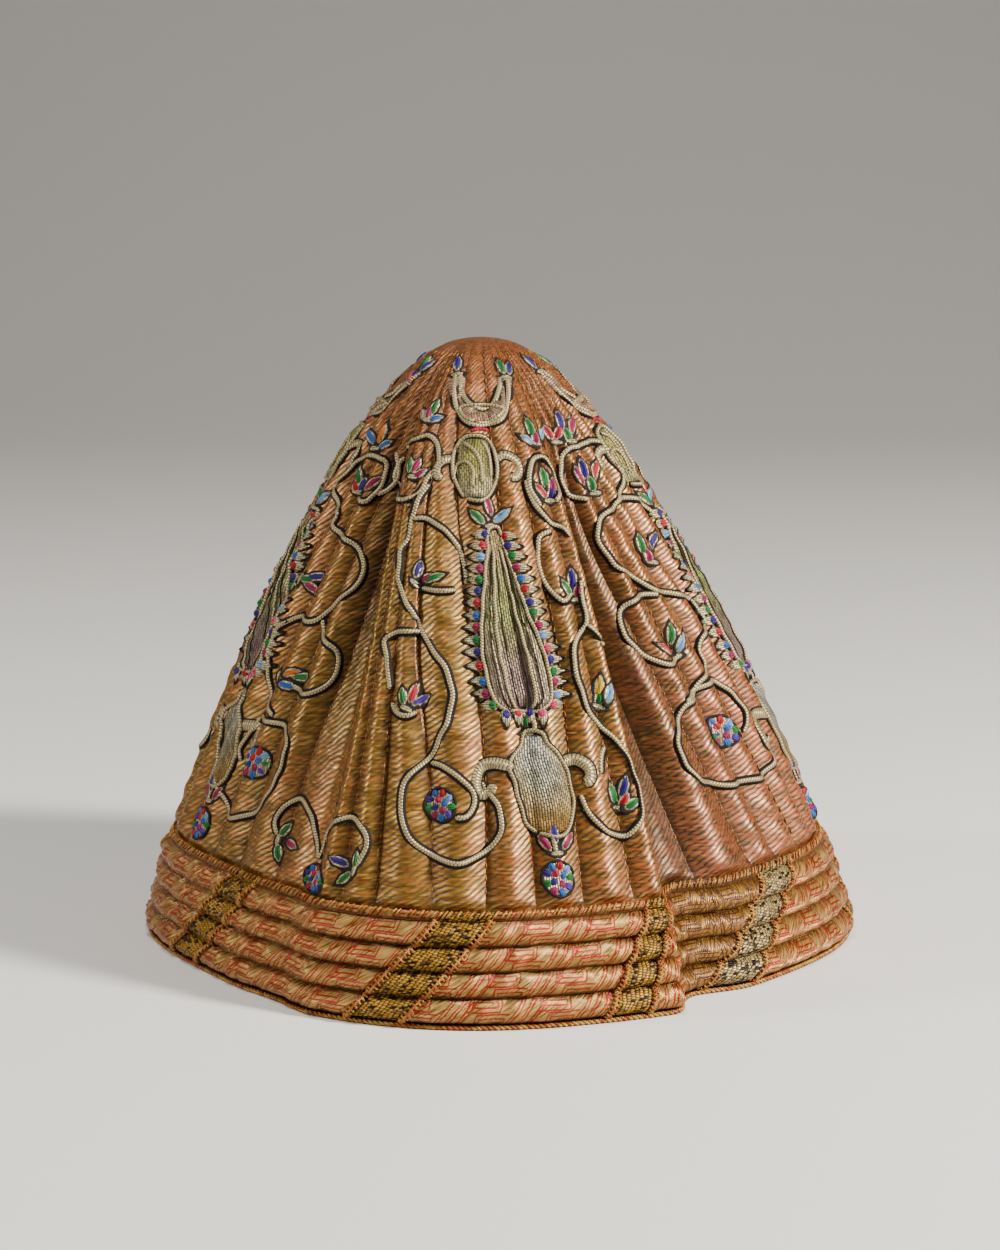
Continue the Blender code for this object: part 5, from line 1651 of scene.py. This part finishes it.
def band_surface(azimuth, row):
    """Point on the band's outer side at rows of its section, and outwards, across and upwards."""
    def at(azimuth, row):
        return band_points(azimuth, np.interp(row, section_rows, thickness),
                           np.interp(row, section_rows, height))
    across = at(azimuth + 0.7, row) - at(azimuth - 0.7, row)
    upwards = at(azimuth, row + 0.4) - at(azimuth, row - 0.4)
    return at(azimuth, row), unit(np.cross(across, upwards)), unit(across), unit(upwards)


def sewn_stitches(name, made):
    """One mesh from several stacks of stitches and their UVs."""
    grids, uvs = zip(*made)
    skin(name, np.concatenate(grids), [orange_thread], {"thread": np.concatenate(uvs)})


print("cloth over the rolls %.1f mm" % (cloth_length[-1] * 1000))

# %% [markdown]
# ## Braid, whip stitches and running stitches
#
# The braid's two sets of stitches lean towards each other, half a step apart, which gives it its
# fishbone look. Whip stitches lean over the welt along the band's top. Running stitches lie in
# the grooves of the band and in the valleys of the cone.

# %% Sew the stitches
made = []
braid_length = cloth_length[-4]
for top, foot, _ in seams:
    if (top, foot) == BUTTED_SEAM:
        continue
    for lean, shift in ((1, 0.0), (-1, 0.5)):
        count = int(braid_length / BRAID_PITCH)
        where = (np.arange(count) + 0.5 + shift) / (count + 1) * (braid_length - BRAID_START)
        row = np.interp(where + BRAID_START, cloth_length, section_rows)
        up = np.interp(row, section_rows, height) / BAND_HEIGHT
        point, normal, across, upwards = band_surface(foot + up * (top - foot), row)
        made.append(stitches(point + normal * 0.0001, across + upwards * 0.9 * lean, normal,
                             length=0.0025, radius=0.00032, lift=0.0004))
sewn_stitches("overcast_braid", made)

azimuth = np.arange(0, 360, 1.15)
azimuth = azimuth + 0.25 * np.sin(azimuth * 7.7)
welt = np.full(azimuth.shape, len(height) + WELT_ROW)
point, normal, across, upwards = band_surface(azimuth, welt)
made = [stitches(point, upwards + 0.8 * across, normal, length=0.0027, radius=0.00028, lift=0.0003)]
for roll in range(1, ROLL_COUNT + 1):
    azimuth = np.arange(0, 360, 1.9) + 0.6 * roll
    groove = np.full(azimuth.shape, 2.0 + roll * ROLL_ROWS)
    point, _, across, _ = band_surface(azimuth, groove)
    outwards = place(azimuth, 1.0, 0.0) - place(azimuth, 0.0, 0.0)
    made.append(stitches(point, across, outwards, length=0.0019, radius=0.0002, lift=0.0003))
sewn_stitches("band_stitches", made)

rows = np.arange(0.03, 0.93, STITCH_PITCH / 1000 / SLANT)
azimuth = quilting_lines(rows)
share = np.broadcast_to(rows[:, None], azimuth.shape)
centre, normal = crown_points(azimuth, share), cloth_normals(azimuth, share)
upwards = crown_points(azimuth, share + 0.004) - centre
centre, normal, upwards = (x.reshape(-1, 3) for x in (centre, normal, upwards))
sewn_stitches("quilting_stitches", [stitches(centre, upwards, normal, length=0.0017,
                                             radius=0.00014, lift=0.0002, sides=4)])
print("quilting stitches:", len(centre))

# %% [markdown]
# ## Light and floor
#
# A key light from the upper right brings out the quilting, because light across the ribs shades
# one flank of each. It is small, so the shadows in the folds stay firm. A weaker one from the left
# keeps the folds from going black, one from above shows the tip, and a pale room gives the metal
# threads something to reflect. The floor and the room are plain.

# %% Light and floor
def area_light(name, at, size, power, colour):
    """A square lamp that faces the middle of the hat."""
    lamp = bpy.data.lights.new(name, "AREA")
    lamp.size, lamp.energy, lamp.color = size, power, colour
    thing = bpy.data.objects.new(name, lamp)
    thing.location = at
    aim = np.array([0, 0, 0.07]) - np.array(at)
    thing.rotation_euler = (math.acos(-aim[2] / np.linalg.norm(aim)), 0,
                            math.atan2(-aim[0], aim[1]))
    bpy.context.scene.collection.objects.link(thing)


area_light("key", (1.0, -0.45, 0.75), 0.2, 44.0, (1.0, 0.95, 0.88))
area_light("left", (-1.0, -0.15, 0.6), 0.2, 6.5, (1.0, 0.96, 0.9))
area_light("above", (-0.1, -0.35, 1.2), 0.4, 9.0, (1.0, 0.98, 0.95))

room = bpy.data.worlds.new("pale room")
room.use_nodes = True
room.node_tree.nodes["Background"].inputs["Color"].default_value = to_linear("#dcdcda")
room.node_tree.nodes["Background"].inputs["Strength"].default_value = 0.15
bpy.context.scene.world = room

floor_paint, tree = new_material("pale matte floor")
grain = add(tree, "TexNoise", add(tree, "TexCoord").node.outputs["Object"],
            named={"Scale": 90.0, "Detail": 3.0})
surface(tree, to_linear("#d6d4d0"), 0.8, 0.0, grain, 0.00002)
floor_mesh = bpy.data.meshes.new("floor")
turn = np.linspace(0, math.pi / 2, 17)
floor_line = [(-4.0, 0.0), *zip(1.2 + 1.5 * np.sin(turn), 1.5 - 1.5 * np.cos(turn)), (2.7, 6.0)]
corners = [(x, y, z) for y, z in floor_line for x in (-6.0, 6.0)]
faces = [(k, k + 1, k + 3, k + 2) for k in range(0, len(corners) - 2, 2)]
floor_mesh.from_pydata(corners, [], faces)
floor_mesh.shade_smooth()
floor_mesh.materials.append(floor_paint)
floor = bpy.data.objects.new("floor", floor_mesh)
bpy.context.scene.collection.objects.link(floor)
print("lights and floor are in place")
